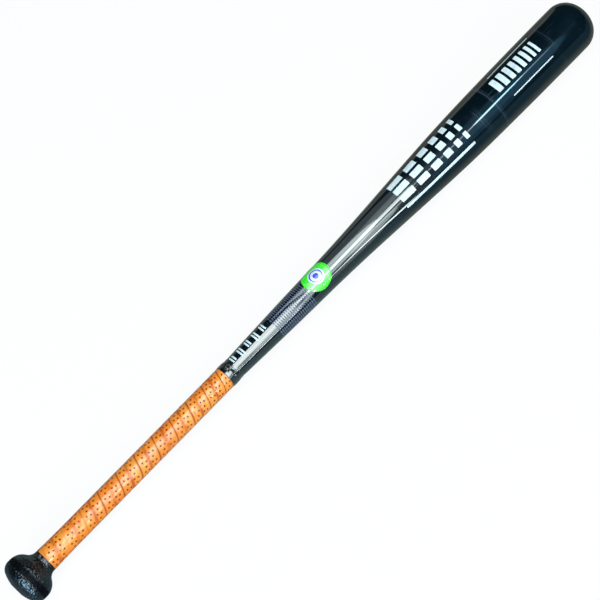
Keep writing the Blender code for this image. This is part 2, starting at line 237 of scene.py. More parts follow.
def surface(
    name: str,
    points: np.ndarray,
    wrap: Wrap,
    maps: dict[str, np.ndarray] | None = None,
    folds: int = 1,
    crease: float = HARD_EDGE,
) -> Piece:
    """Closed mesh of a grid of points, with its poles merged and its faces turned outwards.

    Face (i, j) joins points (i, j), (i + 1, j), (i + 1, j + 1) and (i, j + 1), round the joined sides.

    Args:
        name: Name of the piece.
        points: Grid of points, rows along the piece and columns across or round it.
        wrap: Which sides of the grid join up.
        maps: Named UV maps as grids, one longer than the points on each joined side.
        folds: Number of bands into which the rows' length is folded in the map for stored textures.
        crease: Edges sharper than this many degrees stay hard.

    Returns:
        The new object, at the origin.
    """
    rows, columns = points.shape[:2]
    joined_rows, joined_columns = wrap.value
    i, j = np.meshgrid(
        np.arange(rows - (not joined_rows)), np.arange(columns - (not joined_columns)), indexing="ij"
    )
    corner_i = np.stack([i, i + 1, i + 1, i], -1)
    corner_j = np.stack([j, j, j + 1, j + 1], -1)
    index = (corner_i % rows) * columns + corner_j % columns
    mesh = bpy.data.meshes.new(name)
    mesh.from_pydata(points.reshape(-1, 3).tolist(), [], index.reshape(-1, 4).tolist())
    for label, grid in (maps or {}).items():
        layer = mesh.uv_layers.new(name=label)
        layer.data.foreach_set("uv", grid[corner_i, corner_j].astype(np.float32).ravel())
    closed = np.concatenate([points, points[:1]]) if joined_rows else points
    length = np.linalg.norm(np.diff(closed, axis=0), axis=-1).max(1)
    along = np.concatenate([[0.0], np.cumsum(length)]) / length.sum() * folds
    fold = np.floor((along[i] + along[i + 1]) / 2 - 1e-6)[..., None]
    beside, below = MAP_MARGINS
    u = beside + (1 - 2 * beside) * (along[corner_i] - fold)
    v = (fold + below + (1 - 2 * below) * corner_j / j.shape[1]) / folds
    layer = mesh.uv_layers.new(name="OFBake")
    layer.data.foreach_set("uv", np.stack([u, v], -1).astype(np.float32).ravel())
    form = bmesh.new()
    form.from_mesh(mesh)
    bmesh.ops.remove_doubles(form, verts=form.verts, dist=MERGE_DISTANCE)
    bmesh.ops.recalc_face_normals(form, faces=form.faces)
    form.to_mesh(mesh)
    form.free()
    return smoothed(name, mesh, crease)


def turned(
    axis: BatAxis,
    name: str,
    profile: np.ndarray,
    sides: int,
    wrap: Wrap = Wrap.ROUND,
    relief: Callable[[np.ndarray, np.ndarray], np.ndarray] | None = None,
    folds: int = 1,
) -> Piece:
    """A turned piece: each profile row is carried once round the axis.

    Args:
        axis: The bat's axis.
        name: Name of the piece.
        profile: Rows of (radius, station).
        sides: Number of columns round the axis.
        wrap: ROUND for a profile that ends on the axis, RING for one that closes on itself.
        relief: Height added to the radius, from the turn and station of each point.
        folds: Bands of the map for stored textures.

    Returns:
        The new object.
    """
    turn = np.linspace(0, 2 * math.pi, sides, endpoint=False)[None]
    radius, station = profile[:, :1], profile[:, 1:]
    if relief is not None:
        radius = radius + relief(*np.broadcast_arrays(turn, station)) * (radius > ON_AXIS)
    return surface(name, axis.place(radius, turn, station), wrap, folds=folds)


# ---------------------------------------------------------------- finishes


class Nodes:
    """A node tree, with short ways to add what the finishes, the floor and the world need.

    Args:
        tree: The tree.
    """

    def __init__(self, tree: bpy.types.NodeTree) -> None:
        """Takes the tree."""
        self.tree = tree

    def node(
        self, kind: str, inputs: dict[str | int, Source | Sequence[float]], **settings: object
    ) -> bpy.types.Node:
        """Adds a node, and links or sets its inputs.

        Args:
            kind: Type of the node.
            inputs: Sockets or plain values, by input name or number.
            settings: Properties of the node.

        Returns:
            The node.
        """
        made = self.tree.nodes.new(kind)
        for key, value in settings.items():
            setattr(made, key, value)
        for key, value in inputs.items():
            if isinstance(value, bpy.types.NodeSocket):
                self.tree.links.new(value, made.inputs[key])
            else:
                made.inputs[key].default_value = value
        return made

    def math(self, operation: str, *values: Source) -> Socket:
        """The result of a Math node on one to three values."""
        return self.node("ShaderNodeMath", dict(enumerate(values)), operation=operation).outputs[0]

    # The operations that the finishes use most, each on one or two values.
    times = partialmethod(math, "MULTIPLY")
    plus = partialmethod(math, "ADD")
    minus = partialmethod(math, "SUBTRACT")
    most = partialmethod(math, "MAXIMUM")
    least = partialmethod(math, "MINIMUM")
    size = partialmethod(math, "ABSOLUTE")
    root = partialmethod(math, "SQRT")

    def span(self, value: Source, low: float, high: float, start: float = 0.0, end: float = 1.0) -> Socket:
        """A smooth step of a value.

        Args:
            value: The value.
            low: Where the step starts.
            high: Where it ends.
            start: What is given out at its start.
            end: What is given out at its end.

        Returns:
            The result.
        """
        made = self.node(
            "ShaderNodeMapRange",
            {"Value": value, "From Min": low, "From Max": high, "To Min": start, "To Max": end},
            interpolation_type="SMOOTHSTEP",
        )
        return made.outputs["Result"]

    def place(self, scale: Sequence[float] = (1, 1, 1)) -> Socket:
        """Object coordinates, stretched by scale."""
        at = self.node("ShaderNodeTexCoord", {}).outputs["Object"]
        return self.node("ShaderNodeMapping", {"Vector": at, "Scale": scale}).outputs[0]

    def apart(self, vector: Socket) -> tuple[Socket, Socket, Socket]:
        """The three numbers of a vector."""
        out = self.node("ShaderNodeSeparateXYZ", {0: vector}).outputs
        return out[0], out[1], out[2]

    def mapped(self, label: str) -> tuple[Socket, Socket]:
        """The two numbers of one of the piece's own UV maps."""
        return self.apart(self.node("ShaderNodeUVMap", {}, uv_map=label).outputs[0])[:2]

    def noise(self, vector: Socket, scale: float, detail: float = 3.0, rough: float = 0.55) -> Socket:
        """Noise from zero to one, centred on a half."""
        inputs = {"Vector": vector, "Scale": scale, "Detail": detail, "Roughness": rough}
        return self.node("ShaderNodeTexNoise", inputs).outputs[0]

    def cells(self, vector: Socket, scale: float, feature: str = "F1") -> Socket:
        """The distance of cell noise, to the nearest cell's middle or as the feature says."""
        inputs = {"Vector": vector, "Scale": scale}
        return self.node("ShaderNodeTexVoronoi", inputs, feature=feature).outputs["Distance"]

    def mix(self, share: Source, first: Socket | Colour, second: Socket | Colour) -> Socket:
        """The first colour, going over to the second as share goes from zero to one.

        Args:
            share: The share of the second colour.
            first: A colour, or the socket that gives it.
            second: Another colour, or its socket.

        Returns:
            The mixed colour.
        """
        colours = [c if isinstance(c, bpy.types.NodeSocket) else (*c, 1.0) for c in (first, second)]
        made = self.node("ShaderNodeMix", {0: share, 6: colours[0], 7: colours[1]}, data_type="RGBA")
        return made.outputs[2]

    def bump(self, height: Socket, distance: float, strength: float = 1.0) -> Socket:
        """A normal bent by a height of the given size in metres."""
        inputs = {"Height": height, "Distance": distance, "Strength": strength}
        return self.node("ShaderNodeBump", inputs).outputs[0]

    def show(self, output: str, share: Socket, first: Socket, second: Socket) -> None:
        """Sends the first shader, going over to the second by share, to the named output."""
        both = self.node("ShaderNodeMixShader", {0: share, 1: first, 2: second}).outputs[0]
        self.tree.links.new(both, self.tree.nodes[output].inputs["Surface"])


class Recipe(Nodes):
    """A material's node tree.

    Args:
        name: Name of the material.
        shader: Numbers and colours that are set on the Principled shader's own sockets.
    """

    def __init__(self, name: str, **shader: float | Colour) -> None:
        """Starts the material with its plain numbers.

        Args:
            name: Name of the material.
            shader: Numbers and colours by the socket's name, with underscores for its spaces.
        """
        self.material = bpy.data.materials.new(name)
        self.material.use_nodes = True
        super().__init__(self.material.node_tree)
        self.shader = self.tree.nodes["Principled BSDF"]
        for key, value in shader.items():
            socket = self.shader.inputs[key.replace("_", " ")]
            socket.default_value = (*value, 1.0) if isinstance(value, tuple) else value

    def finish(self, **links: Socket) -> bpy.types.Material:
        """Links sockets to the Principled shader's inputs.

        Args:
            links: Sockets by the input's name, with underscores for its spaces.

        Returns:
            The finished material.
        """
        for key, value in links.items():
            self.tree.links.new(value, self.shader.inputs[key.replace("_", " ")])
        return self.material


@dataclass(frozen=True)
class BlackLacquer:
    """Gloss black lacquer with a clear coat, smudges, hairlines along the bat and ring scuffs.

    Args:
        name: Name of the material.
        deep: Its colour.
        lift: The colour where it has a dusty bloom.
        scuff: The colour of hairlines and rings.
        rings: Middle and half width, along the bat, of each place with ring scuffs.
        peel: Height of the unevenness of the coat.
        peel_scale: How many of its waves fit in a metre.
        gloss: Roughness of the coat.
        even: Share of that unevenness that is the same in all directions.
        worn: Along the bat, the start and end of a place where hands have rubbed the coat away.
    """

    name: str = "gloss_black_lacquer"
    deep: Colour = (0.0002, 0.0050, 0.0090)
    lift: Colour = (0.003, 0.012, 0.018)
    scuff: Colour = (0.07, 0.10, 0.13)
    rings: tuple[tuple[float, float], ...] = (
        (0.233, 0.006),
        (0.241, 0.006),
        (0.249, 0.006),
        (0.271, 0.003),
        (0.361, 0.003),
    )
    peel: float = 0.000008
    peel_scale: float = 330.0
    gloss: float = 0.04
    even: float = 0.12
    worn: tuple[float, float] = (1.0, 1.0)

    def material(self) -> bpy.types.Material:
        """Clear coat over dark lacquer.

        Bloom drifts along the bat. Hairlines are noise drawn out along the axis. Rings are noise that changes
        along the axis only, kept near the given places and broken up by a slower noise. Both pale the colour
        and dull the coat below. Streaks, noise drawn out even more, tilt the surface a little across the bat.

        Returns:
            The material.
        """
        r = Recipe(self.name, Coat_IOR=1.8, Coat_Roughness=self.gloss, Specular_IOR_Level=0.08, IOR=1.5)
        bloom = r.span(r.noise(r.place((4, 14, 14)), 1.0, 3.0), 0.42, 0.72)
        hair = r.span(r.noise(r.place((26, 900, 900)), 1.0, 2.0, 0.6), 0.66, 0.76)
        patch = r.span(r.noise(r.place((30, 20, 20)), 1.0, 2.0), 0.50, 0.66)
        marks = r.times(hair, patch)
        along = r.apart(r.place())[0]
        for middle, half in self.rings:
            off = r.size(r.minus(along, middle))
            ring = r.span(r.noise(r.place((800, 5, 5)), 1.0, 3.0, 0.7), 0.40, 0.72)
            broken = r.span(r.noise(r.place(), 24.0), 0.4, 0.6)
            where = r.times(r.span(off, half * 0.3, half, 1.0, 0.0), broken)
            marks = r.most(marks, r.times(ring, where))
        smudge = r.noise(r.place((24, 40, 40)), 1.0, 4.0, 0.6)
        colour = r.mix(r.times(bloom, 0.8), self.deep, self.lift)
        colour = r.mix(r.times(marks, 0.8), colour, self.scuff)
        start, end = self.worn
        dull = r.times(r.span(along, start, start + 0.003), r.span(along, end - 0.004, end, 1.0, 0.0))
        rough = r.plus(r.span(smudge, 0.3, 0.75, 0.18, 0.32), r.times(r.most(marks, dull), 0.15))
        streaks = r.noise(r.place((7, 420, 420)), 1.0, 3.0, 0.6)
        pitted = r.times(r.noise(r.place(), self.peel_scale, 1.0), self.even)
        peel = r.plus(pitted, r.times(streaks, 0.8))
        relief = r.bump(r.minus(peel, r.times(marks, 0.5)), self.peel)
        coat = r.minus(1.0, dull)
        return r.finish(
            Base_Color=colour, Roughness=rough, Normal=relief, Coat_Weight=coat, Coat_Normal=relief
        )


KNOB_LACQUER = BlackLacquer(
    name="gloss_black_knob",
    deep=(0.0012, 0.0020, 0.0034),
    lift=(0.004, 0.006, 0.009),
    scuff=(0.03, 0.035, 0.04),
    rings=(),
    peel=0.0012,
    gloss=0.07,
    even=1.0,
    worn=(-0.4085, -0.3970),
)


@dataclass(frozen=True)
class WhiteInk:
    """Screen-printed white ink, slightly thin and worn in small patches."""

    name: str = "white_print"
    full: Colour = (0.73, 0.81, 0.82)
    thin: Colour = (0.40, 0.48, 0.50)

    def material(self) -> bpy.types.Material:
        """Ink whose colour thins where two noises are high.

        Returns:
            The material.
        """
        r = Recipe(self.name, Specular_IOR_Level=0.25)
        cloud = r.noise(r.place(), 95.0, 4.0, 0.6)
        fleck = r.noise(r.place((60, 1400, 1400)), 1.0, 2.0)
        worn = r.most(r.span(cloud, 0.50, 0.78), r.span(fleck, 0.66, 0.74))
        colour = r.mix(r.times(worn, 0.75), self.full, self.thin)
        return r.finish(Base_Color=colour, Roughness=r.span(cloud, 0.3, 0.7, 0.42, 0.60))


@dataclass(frozen=True)
class GripLeather:
    """Glossy perforated synthetic leather, dark in its seams and holes, with painted shade by them and in its
    valley.
    """

    name: str = "orange_perforated_leather"
    bright: Colour = (0.95, 0.30, 0.042)
    warm: Colour = (0.90, 0.205, 0.022)
    # crease is painted shade: the colour of the valley, of the strip beside open seams and of the holes'
    # rims.
    crease: Colour = (0.55, 0.078, 0.006)
    dark: Colour = (0.30, 0.042, 0.004)
    hole: Colour = (0.15, 0.022, 0.002)
    grain: float = 0.00005
    seams_open: tuple[float, float] = (-0.35, -0.29)
    seam_from_edge: tuple[float, float] = (0.2 * MM, 1.0 * MM)
    shade_from_edge: float = 2.4 * MM
    valley_shade_reach: float = 3.0 * MM

    def material(self, tape: "GripTape") -> bpy.types.Material:
        """Leather from the strip's own map, whose first number runs along it and second across it.

        A hole lies where the distance to the nearest point of a staggered lattice is under its radius. The
        crease colour is painted shade over the valley, beside the open seams and round the holes.
        Grain is cell noise with fine noise.

        Args:
            tape: The tape, which gives the lattice, the valley and the width.

        Returns:
            The material.
        """
        r = Recipe(self.name, Specular_IOR_Level=0.12, Coat_Roughness=0.05, Coat_IOR=1.5)
        along, across = r.mapped("strip")
        nearest: Source = 1.0
        for middle, spread, single, pair in tape.lattice:
            off = r.minus(across, middle)
            for reach, phase in ((off, single), (r.minus(r.size(off), spread), pair)):
                step = r.math("WRAP", r.minus(along, phase), tape.hole_period / 2, -tape.hole_period / 2)
                gap = r.root(r.plus(r.times(reach, reach), r.times(step, step)))
                nearest = r.least(nearest, gap)
        radius = tape.hole_diameter / 2
        hole = r.span(nearest, radius * 0.80, radius * 1.05, 1.0, 0.0)
        # Painted shade round the rim of each hole.
        hole_rim_shade = r.span(nearest, radius * 0.9, radius * 1.8, 1.0, 0.0)
        edge = r.least(across, r.minus(tape.strip_width, across))
        at = r.place()
        open_seams = r.span(r.apart(at)[0], *self.seams_open, 0.12, 1.0)
        seam = r.times(r.span(edge, *self.seam_from_edge, 1.0, 0.0), open_seams)
        # Painted shade on the strip beside each open seam.
        seam_shade = r.times(r.span(edge, 0.0, self.shade_from_edge, 1.0, 0.0), open_seams)
        valley = r.span(r.size(r.minus(across, tape.strip_width / 2)), 0.0, self.valley_shade_reach, 1.0, 0.0)
        patch = r.noise(at, 60.0, 3.0)
        blush = r.span(r.noise(at, 26.0, 2.0), 0.38, 0.62)
        tone = r.mix(r.times(blush, 0.7), self.bright, self.warm)
        # worn is painted shade in patches: the valley and the strip beside each open seam.
        worn = r.times(valley, r.span(patch, 0.38, 0.62, 0.45, 1.0))
        worn = r.most(worn, r.times(seam_shade, r.span(patch, 0.40, 0.60, 0.1, 0.6)))
        colour = r.mix(r.most(worn, r.times(hole_rim_shade, 0.7)), tone, self.crease)
        colour = r.mix(r.times(seam, 0.85), colour, self.dark)
        colour = r.mix(hole, colour, self.hole)
        cells = r.cells(at, 900.0, "DISTANCE_TO_EDGE")
        pores = r.plus(r.span(cells, 0.0, 0.12), r.noise(at, 1500.0, 2.0))
        rough = r.plus(r.span(patch, 0.3, 0.7, 0.28, 0.44), r.times(hole, 0.3))
        coat = r.span(hole, 0.0, 1.0, 0.80, 0.40)
        relief = r.bump(pores, self.grain, 0.5)
        return r.finish(Base_Color=colour, Roughness=rough, Coat_Weight=coat, Normal=relief)


@dataclass(frozen=True)
class BlackVinyl:
    """Stretched black vinyl tape with fine wrinkles."""

    name: str = "black_vinyl_tape"
    face: Colour = (0.003, 0.005, 0.007)
    stretched: Colour = (0.018, 0.024, 0.028)

    def material(self) -> bpy.types.Material:
        """Vinyl that pales where it is stretched, with wrinkles that run mostly along the bat.

        Returns:
            The material.
        """
        r = Recipe(self.name, Specular_IOR_Level=0.15, Coat_Weight=1.0, Coat_Roughness=0.05, Coat_IOR=1.8)
        folds = r.noise(r.place((110, 140, 140)), 1.0, 0.6, 0.5)
        colour = r.mix(r.span(folds, 0.5, 0.8), self.face, self.stretched)
        rough = r.span(r.noise(r.place(), 120.0), 0.3, 0.7, 0.2, 0.38)
        relief = r.bump(folds, 0.0007, 1.0)
        return r.finish(Base_Color=colour, Roughness=rough, Normal=relief, Coat_Normal=relief)


@dataclass(frozen=True)
class PrintedFilm:
    """Glossy round film: a plain green field round a white middle with two blue rings."""

    name: str = "green_sticker_film"
    field_colour: Colour = (0.045, 0.90, 0.020)
    middle: Colour = (0.74, 0.84, 0.92)
    ring: Colour = (0.060, 0.050, 0.66)
    rings: tuple[tuple[float, float], ...] = ((0.41, 0.035), (0.07, 0.12))

    def material(self) -> bpy.types.Material:
        """Rings by the distance from the middle in the piece's own map, with faint print grain.

        Returns:
            The material.
        """
        r = Recipe(self.name, Coat_Weight=1.0, Coat_Roughness=0.06, Coat_IOR=1.6)
        across, along = r.mapped("disc")
        far = r.root(r.plus(r.times(across, across), r.times(along, along)))
        grain = r.times(r.minus(r.noise(r.place(), 900.0, 2.0), 0.5), 0.02)
        far = r.plus(far, grain)
        colour = r.mix(r.span(far, 0.535, 0.55), self.middle, self.field_colour)
        for radius, half in self.rings:
            gap = r.size(r.minus(far, radius))
            colour = r.mix(r.span(gap, half, half + 0.02, 1.0, 0.0), colour, self.ring)
        crease = r.noise(r.place(), 160.0, 3.0)
        rough = r.span(crease, 0.3, 0.7, 0.2, 0.36)
        return r.finish(Base_Color=colour, Roughness=rough, Normal=r.bump(crease, 0.0001))


@dataclass(frozen=True)
class MouldedRubber:
    """Satin black rubber with a fine moulded grain and a dusting of wear."""

    name: str = "moulded_rubber"
    face: Colour = (0.016, 0.016, 0.018)
    dusty: Colour = (0.060, 0.058, 0.055)

    def material(self) -> bpy.types.Material:
        """Rubber that pales where a noise is high, with a bump of fine noise.

        Returns:
            The material.
        """
        r = Recipe(self.name, Specular_IOR_Level=0.4)
        dust = r.span(r.noise(r.place(), 170.0, 4.0, 0.65), 0.48, 0.75)
        colour = r.mix(dust, self.face, self.dusty)
        rough = r.span(dust, 0.0, 1.0, 0.5, 0.75)
        grain = r.bump(r.noise(r.place(), 2200.0, 2.0), 0.00004)
        return r.finish(Base_Color=colour, Roughness=rough, Normal=grain)


@dataclass(frozen=True)
class TurnedMetal:
    """Bare metal with the fine rings of a lathe or a grinder."""

    name: str
    face: Colour
    dull: Colour

    def material(self) -> bpy.types.Material:
        """Metal whose roughness and bump follow noise that changes along the axis only, and whose colour
        follows an even noise.

        Returns:
            The material.
        """
        r = Recipe(self.name, Metallic=1.0)
        rings = r.noise(r.place((2600, 4, 4)), 1.0, 3.0, 0.7)
        stain = r.noise(r.place(), 130.0, 4.0)
        colour = r.mix(r.span(stain, 0.4, 0.7), self.face, self.dull)
        rough = r.span(rings, 0.3, 0.7, 0.28, 0.5)
        return r.finish(Base_Color=colour, Roughness=rough, Normal=r.bump(rings, 0.00005, 0.6))


@dataclass(frozen=True)
class CellFoam:
    """Matt urethane foam with open cells, its pores darkened by painted shade."""

    name: str
    face: Colour
    pore_shade: Colour

    def material(self) -> bpy.types.Material:
        """Foam whose pores are the cells' middles of two cell noises, with painted shade that darkens with
        their depth.

        Returns:
            The material.
        """
        r = Recipe(self.name, Roughness=0.95, Specular_IOR_Level=0.2)
        cells = r.cells(r.place(), 520.0)
        fine = r.cells(r.place(), 1300.0)
        depth = r.least(r.span(cells, 0.08, 0.42), r.span(fine, 0.05, 0.35, 0.45, 1.0))
        # Painted shade: the colour goes over to the pore colour where the bump is lowest.
        return r.finish(Base_Color=r.mix(depth, self.pore_shade, self.face), Normal=r.bump(depth, 0.0006, 0.9))


# ---------------------------------------------------------------- the bat's pieces


def settle(piece: Piece, finish: bpy.types.Material, node: str = "") -> Piece:
    """Gives a piece its finish, and makes it ride on the bat, stand for a solid and take a slot.

    Args:
        piece: The piece.
        finish: Its material.
        node: The solid that it stands for, if any.

    Returns:
        The piece.
    """
    piece.data.materials.append(finish)
    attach(piece, "root")
    if node:
        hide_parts(node)
    LOG.info("%s: %d faces", piece.name, len(piece.data.polygons))
    return piece


@dataclass
class BatTube:
    """Seamless tube: straight handle, flare, taper and barrel, spun shut to a domed head."""

    axis: BatAxis
    flats: float = math.cos(math.pi / 32)
    starts: tuple[float, ...] = (292 * MM, 430 * MM, 670 * MM, 806 * MM)
    diameters: tuple[float, ...] = (22.3 * MM, 31.4 * MM, 54.1 * MM, 57.0 * MM)
    slopes: tuple[tuple[float, float], ...] = ((0.085, 0.040), (0.040, 0.042), (0.042, 0.0))
    land_end: float = 815.8 * MM
    tube_end: float = 8.0 * MM
    corner_radius: float = 23 * MM
    crown_radius: float = 36 * MM
    crown_centre: float = 804.0 * MM
    handle_wall: float = 2.6 * MM
    barrel_wall: float = 1.9 * MM
    head_wall: float = 3.0 * MM
    hole_diameter: float = 9.0 * MM
    sides: int = 192

    def radius(self, station: np.ndarray) -> np.ndarray:
        """Outside radius, by a cubic between sections with the given diameters and slopes.

        Args:
            station: Stations along the tube, before the head's corner.

        Returns:
            The radius at each station.
        """
        station = np.asarray(station, float)
        across = np.full(station.shape, self.diameters[0])
        for k, (first, last) in enumerate(self.slopes):
            length = self.starts[k + 1] - self.starts[k]
            x = np.clip((station - self.starts[k]) / length, 0.0, 1.0)
            step = (
                (2 * x**3 - 3 * x**2 + 1) * self.diameters[k]
                + (x**3 - 2 * x**2 + x) * length * first
                + (3 * x**2 - 2 * x**3) * self.diameters[k + 1]
                + (x**3 - x**2) * length * last
            )
            across = np.where(station > self.starts[k], step, across)
        return across / 2 * self.flats

    def bore(self, station: np.ndarray) -> np.ndarray:
        """Inside radius, the wall thinning evenly from the handle to the barrel."""
        share = np.clip((station - self.starts[0]) / (self.starts[2] - self.starts[0]), 0.0, 1.0)
        return self.radius(station) - self.handle_wall - share * (self.barrel_wall - self.handle_wall)

    def head(self, inward: float, corner_inward: float, steps: int) -> np.ndarray:
        """The head's profile, from its hole out to the barrel.

        Args:
            inward: How far the crown lies inside the outer one.
            corner_inward: The same for the corner.
            steps: Segments of each arc.

        Returns:
            Rows of (radius, station).
        """
        crown = self.crown_radius - inward
        corner = self.corner_radius - corner_inward
        middle = self.diameters[3] / 2 - corner_inward - corner
        rise = math.sqrt((crown - corner) ** 2 - middle**2)
        join = math.atan2(rise, middle)
        lip = math.acos(self.hole_diameter / 2 / crown)
        top = arc((0.0, self.crown_centre), crown, lip, join, steps)
        side = arc((middle, self.crown_centre + rise), corner, join, 0.0, steps)[1:]
        return np.vstack([top, side]) * [self.flats, 1.0]

    def build(self) -> Piece:
        """Carries the profile down the outside, into the open end, up the bore and back to the head.

        Returns:
            The tube without its finish.
        """
        stretches = [
            np.linspace(self.land_end - 0.5 * MM, self.starts[2], 60),
            np.linspace(self.starts[2], self.starts[1], 110)[1:],
            np.linspace(self.starts[1], self.starts[0], 64)[1:],
            np.linspace(self.starts[0], self.tube_end + 0.3 * MM, 24)[1:],
        ]
        outside = np.concatenate(stretches)
        inside = np.linspace(self.tube_end + 0.3 * MM, self.land_end - 1 * MM, 50)
        head = self.head(0.0, 0.0, 20)
        lip = np.array([[head[0, 0] + 0.3 * MM, head[0, 1]], head[0] - [0.0, 0.4 * MM]])
        rows = [
            lip[1:],
            lip[:1],
            head[2:],
            np.stack([self.radius(outside), outside], -1),
            [[self.radius(self.tube_end) - 0.3 * MM, self.tube_end]],
            [[self.bore(self.tube_end) + 0.3 * MM, self.tube_end]],
            np.stack([self.bore(inside), inside], -1),
            self.head(self.head_wall, self.barrel_wall, 12)[::-1],
        ]
        return turned(self.axis, "lacquered_tube", np.vstack(rows), self.sides, Wrap.RING, folds=4)

    def film(self, turn: np.ndarray, station: np.ndarray, face: np.ndarray, back: float) -> np.ndarray:
        """Grid of a thin film on the tube: its face at a height, and its rim and back folded under it.

        Args:
            turn: Grid of turns.
            station: Grid of stations.
            face: Height of the film's face.
            back: Height of its back.

        Returns:
            Grid of points with the back's columns after the face's, in the opposite order.
        """
        under = self.radius(station)
        upper = self.axis.place(under + face, turn, station)
        lower = self.axis.place(under + back, turn, station)[:, ::-1]
        return np.concatenate([upper, lower], axis=1)

    def dress(self) -> Piece:
        """The tube in black lacquer, standing for its solid."""
        return settle(self.build(), BlackLacquer().material(), "bat_tube")


@dataclass
class HeadPlug:
    """Rubber plug in the head's hole, with a shallow dimple and a flange inside."""

    tube: BatTube
    clearance: float = 0.3 * MM
    flange: float = 3.5 * MM
    flange_thickness: float = 2.0 * MM
    dimple_depth: float = 0.5 * MM
    dimple_wall: tuple[float, float] = (0.9 * MM, 1.9 * MM)
    edge_drop: float = 0.15 * MM
    bevel: float = 0.25 * MM

    def dress(self) -> Piece:
        """Turns the plug and gives it rubber.

        Returns:
            The dressed piece.
        """
        tube = self.tube
        shank = (tube.hole_diameter / 2 - self.clearance) * tube.flats
        flange = tube.hole_diameter / 2 + self.flange
        inner = tube.crown_radius - tube.head_wall
        seat = tube.crown_centre + math.sqrt(inner**2 - flange**2) - self.clearance
        back = seat - self.flange_thickness
        edge = math.acos(shank / tube.crown_radius)
        top = arc((0.0, tube.crown_centre), tube.crown_radius, math.pi / 2, edge, 16)
        top[:, 1] -= self.dimple_depth * (1 - smooth(top[:, 0], *self.dimple_wall))
        top[-1, 1] -= self.edge_drop
        corners = (shank, top[-1, 1]), (shank, seat), (flange, seat), (flange, back), (0.0, back)
        profile = np.vstack([top[:-1], line(*corners, bevel=self.bevel)])
        piece = turned(tube.axis, "head_plug_rubber", profile, 64)
        return settle(piece, MouldedRubber("head_plug_rubber").material(), "head_plug")


@dataclass
class Knob:
    """Full round knob: dome, rounded rim, shoulder, and a neck that blends into the handle."""

    tube: BatTube
    diameter: float = 51.9 * MM
    dome_radius: float = 48 * MM
    corner_radius: float = 11 * MM
    rim_width: float = 2.8 * MM
    shoulder_radius: float = 17 * MM
    neck_fillet: float = 10 * MM
    neck_radius: float = 12.95 * MM
    neck_length: float = 1.2 * MM
    end_wall: float = 7.7 * MM
    hole_diameter: float = 14.6 * MM
    bore_radius: float = 11.45 * MM
    neck_bevel: float = 0.25 * MM
    grind_wave: float = 14 * MM
    grind_depth: float = 0.02 * MM

    def relief(self, turn: np.ndarray, station: np.ndarray) -> np.ndarray:
        """Faint unevenness left by grinding: random waves over the surface, never outwards.

        Args:
            turn: Turns of the points.
            station: Their stations.

        Returns:
            Their heights.
        """
        low = np.clip(ripples(around(20 * MM, turn, station), self.grind_wave, 14, 3) - 1.2, -2.4, 0.0)
        return self.grind_depth * (low - 1) * smooth(station, 1 * MM, 3 * MM)

    def profile(self) -> np.ndarray:
        """Outer arcs that meet tangentially, then the hole, the end wall's step and the bore.

        Returns:
            Closed rows of (radius, station).
        """
        rim, hole = self.diameter / 2, self.hole_diameter / 2
        dome_centre = math.sqrt(self.dome_radius**2 - hole**2)
        reach = self.dome_radius - self.corner_radius
        rim_start = dome_centre - math.sqrt(reach**2 - (rim - self.corner_radius) ** 2)
        rim_end = rim_start + self.rim_width
        across = self.neck_radius + self.neck_fillet - (rim - self.shoulder_radius)
        fillet_at = rim_end + math.sqrt((self.shoulder_radius + self.neck_fillet) ** 2 - across**2)
        fillet_angle = math.atan2(fillet_at - rim_end, across)
        corner_angle = math.atan2(rim_start - dome_centre, rim - self.corner_radius)
        neck_end = fillet_at + self.neck_length
        dome = arc((0, dome_centre), self.dome_radius, corner_angle, -math.acos(hole / self.dome_radius), 14)
        fillet = (self.neck_radius + self.neck_fillet, fillet_at)
        outer = [
            [[self.neck_radius - self.neck_bevel, neck_end]],
            [[self.neck_radius, neck_end - self.neck_bevel]],
            arc(fillet, self.neck_fillet, math.pi, math.pi + fillet_angle, 14),
            arc((rim - self.shoulder_radius, rim_end), self.shoulder_radius, fillet_angle, 0.0, 24)[1:],
            arc((rim - self.corner_radius, rim_start), self.corner_radius, 0.0, corner_angle, 20),
            dome[1:-1],
            [[hole + 0.4 * MM, dome[-1, 1] + 0.02 * MM]],
            [[hole + 0.05 * MM, dome[-1, 1] + 0.3 * MM]],
        ]
        step = (hole, 1 * MM), (hole, self.end_wall), (self.bore_radius, self.end_wall)
        inner = line(*step, (self.bore_radius, neck_end), steps=3)
        return np.vstack([np.vstack(outer) * [self.tube.flats, 1.0], inner])

    def dress(self) -> Piece:
        """The knob in lacquer, standing for its solid."""
        piece = turned(self.tube.axis, "lacquered_knob", self.profile(), 160, Wrap.RING, self.relief, folds=2)
        return settle(piece, KNOB_LACQUER.material(), "knob")


@dataclass
class KnobPlug:
    """Rubber plug with a flat outer face and a shallow moulded groove."""

    tube: BatTube
    shank: float = 7.0 * MM
    lip: float = 8.25 * MM
    lip_start: float = 8.0 * MM
    lip_end: float = 10.4 * MM
    groove_radius: float = 5.2 * MM
    groove_depth: float = 0.35 * MM

    def dress(self) -> Piece:
        """Turns the plug and gives it rubber.

        Returns:
            The dressed piece.
        """
        corners = [
            (0.0, self.lip_end),
            (self.lip, self.lip_end),
            (self.lip, self.lip_start),
            (self.shank, self.lip_start),
            (self.shank, 0.0),
            (0.0, 0.0),
        ]
        body = line(*corners, bevel=0.3 * MM)
        face = np.linspace(self.groove_radius + 0.8 * MM, self.groove_radius - 0.8 * MM, 13)
        groove = self.groove_depth * (1 - smooth(np.abs(face - self.groove_radius), 0.15 * MM, 0.6 * MM))
        profile = np.vstack([body[:-1], np.stack([face, groove], -1), body[-1:]])
        piece = turned(self.tube.axis, "knob_plug_rubber", profile, 72)
        return settle(piece, MouldedRubber("knob_plug_rubber").material(), "knob_plug")


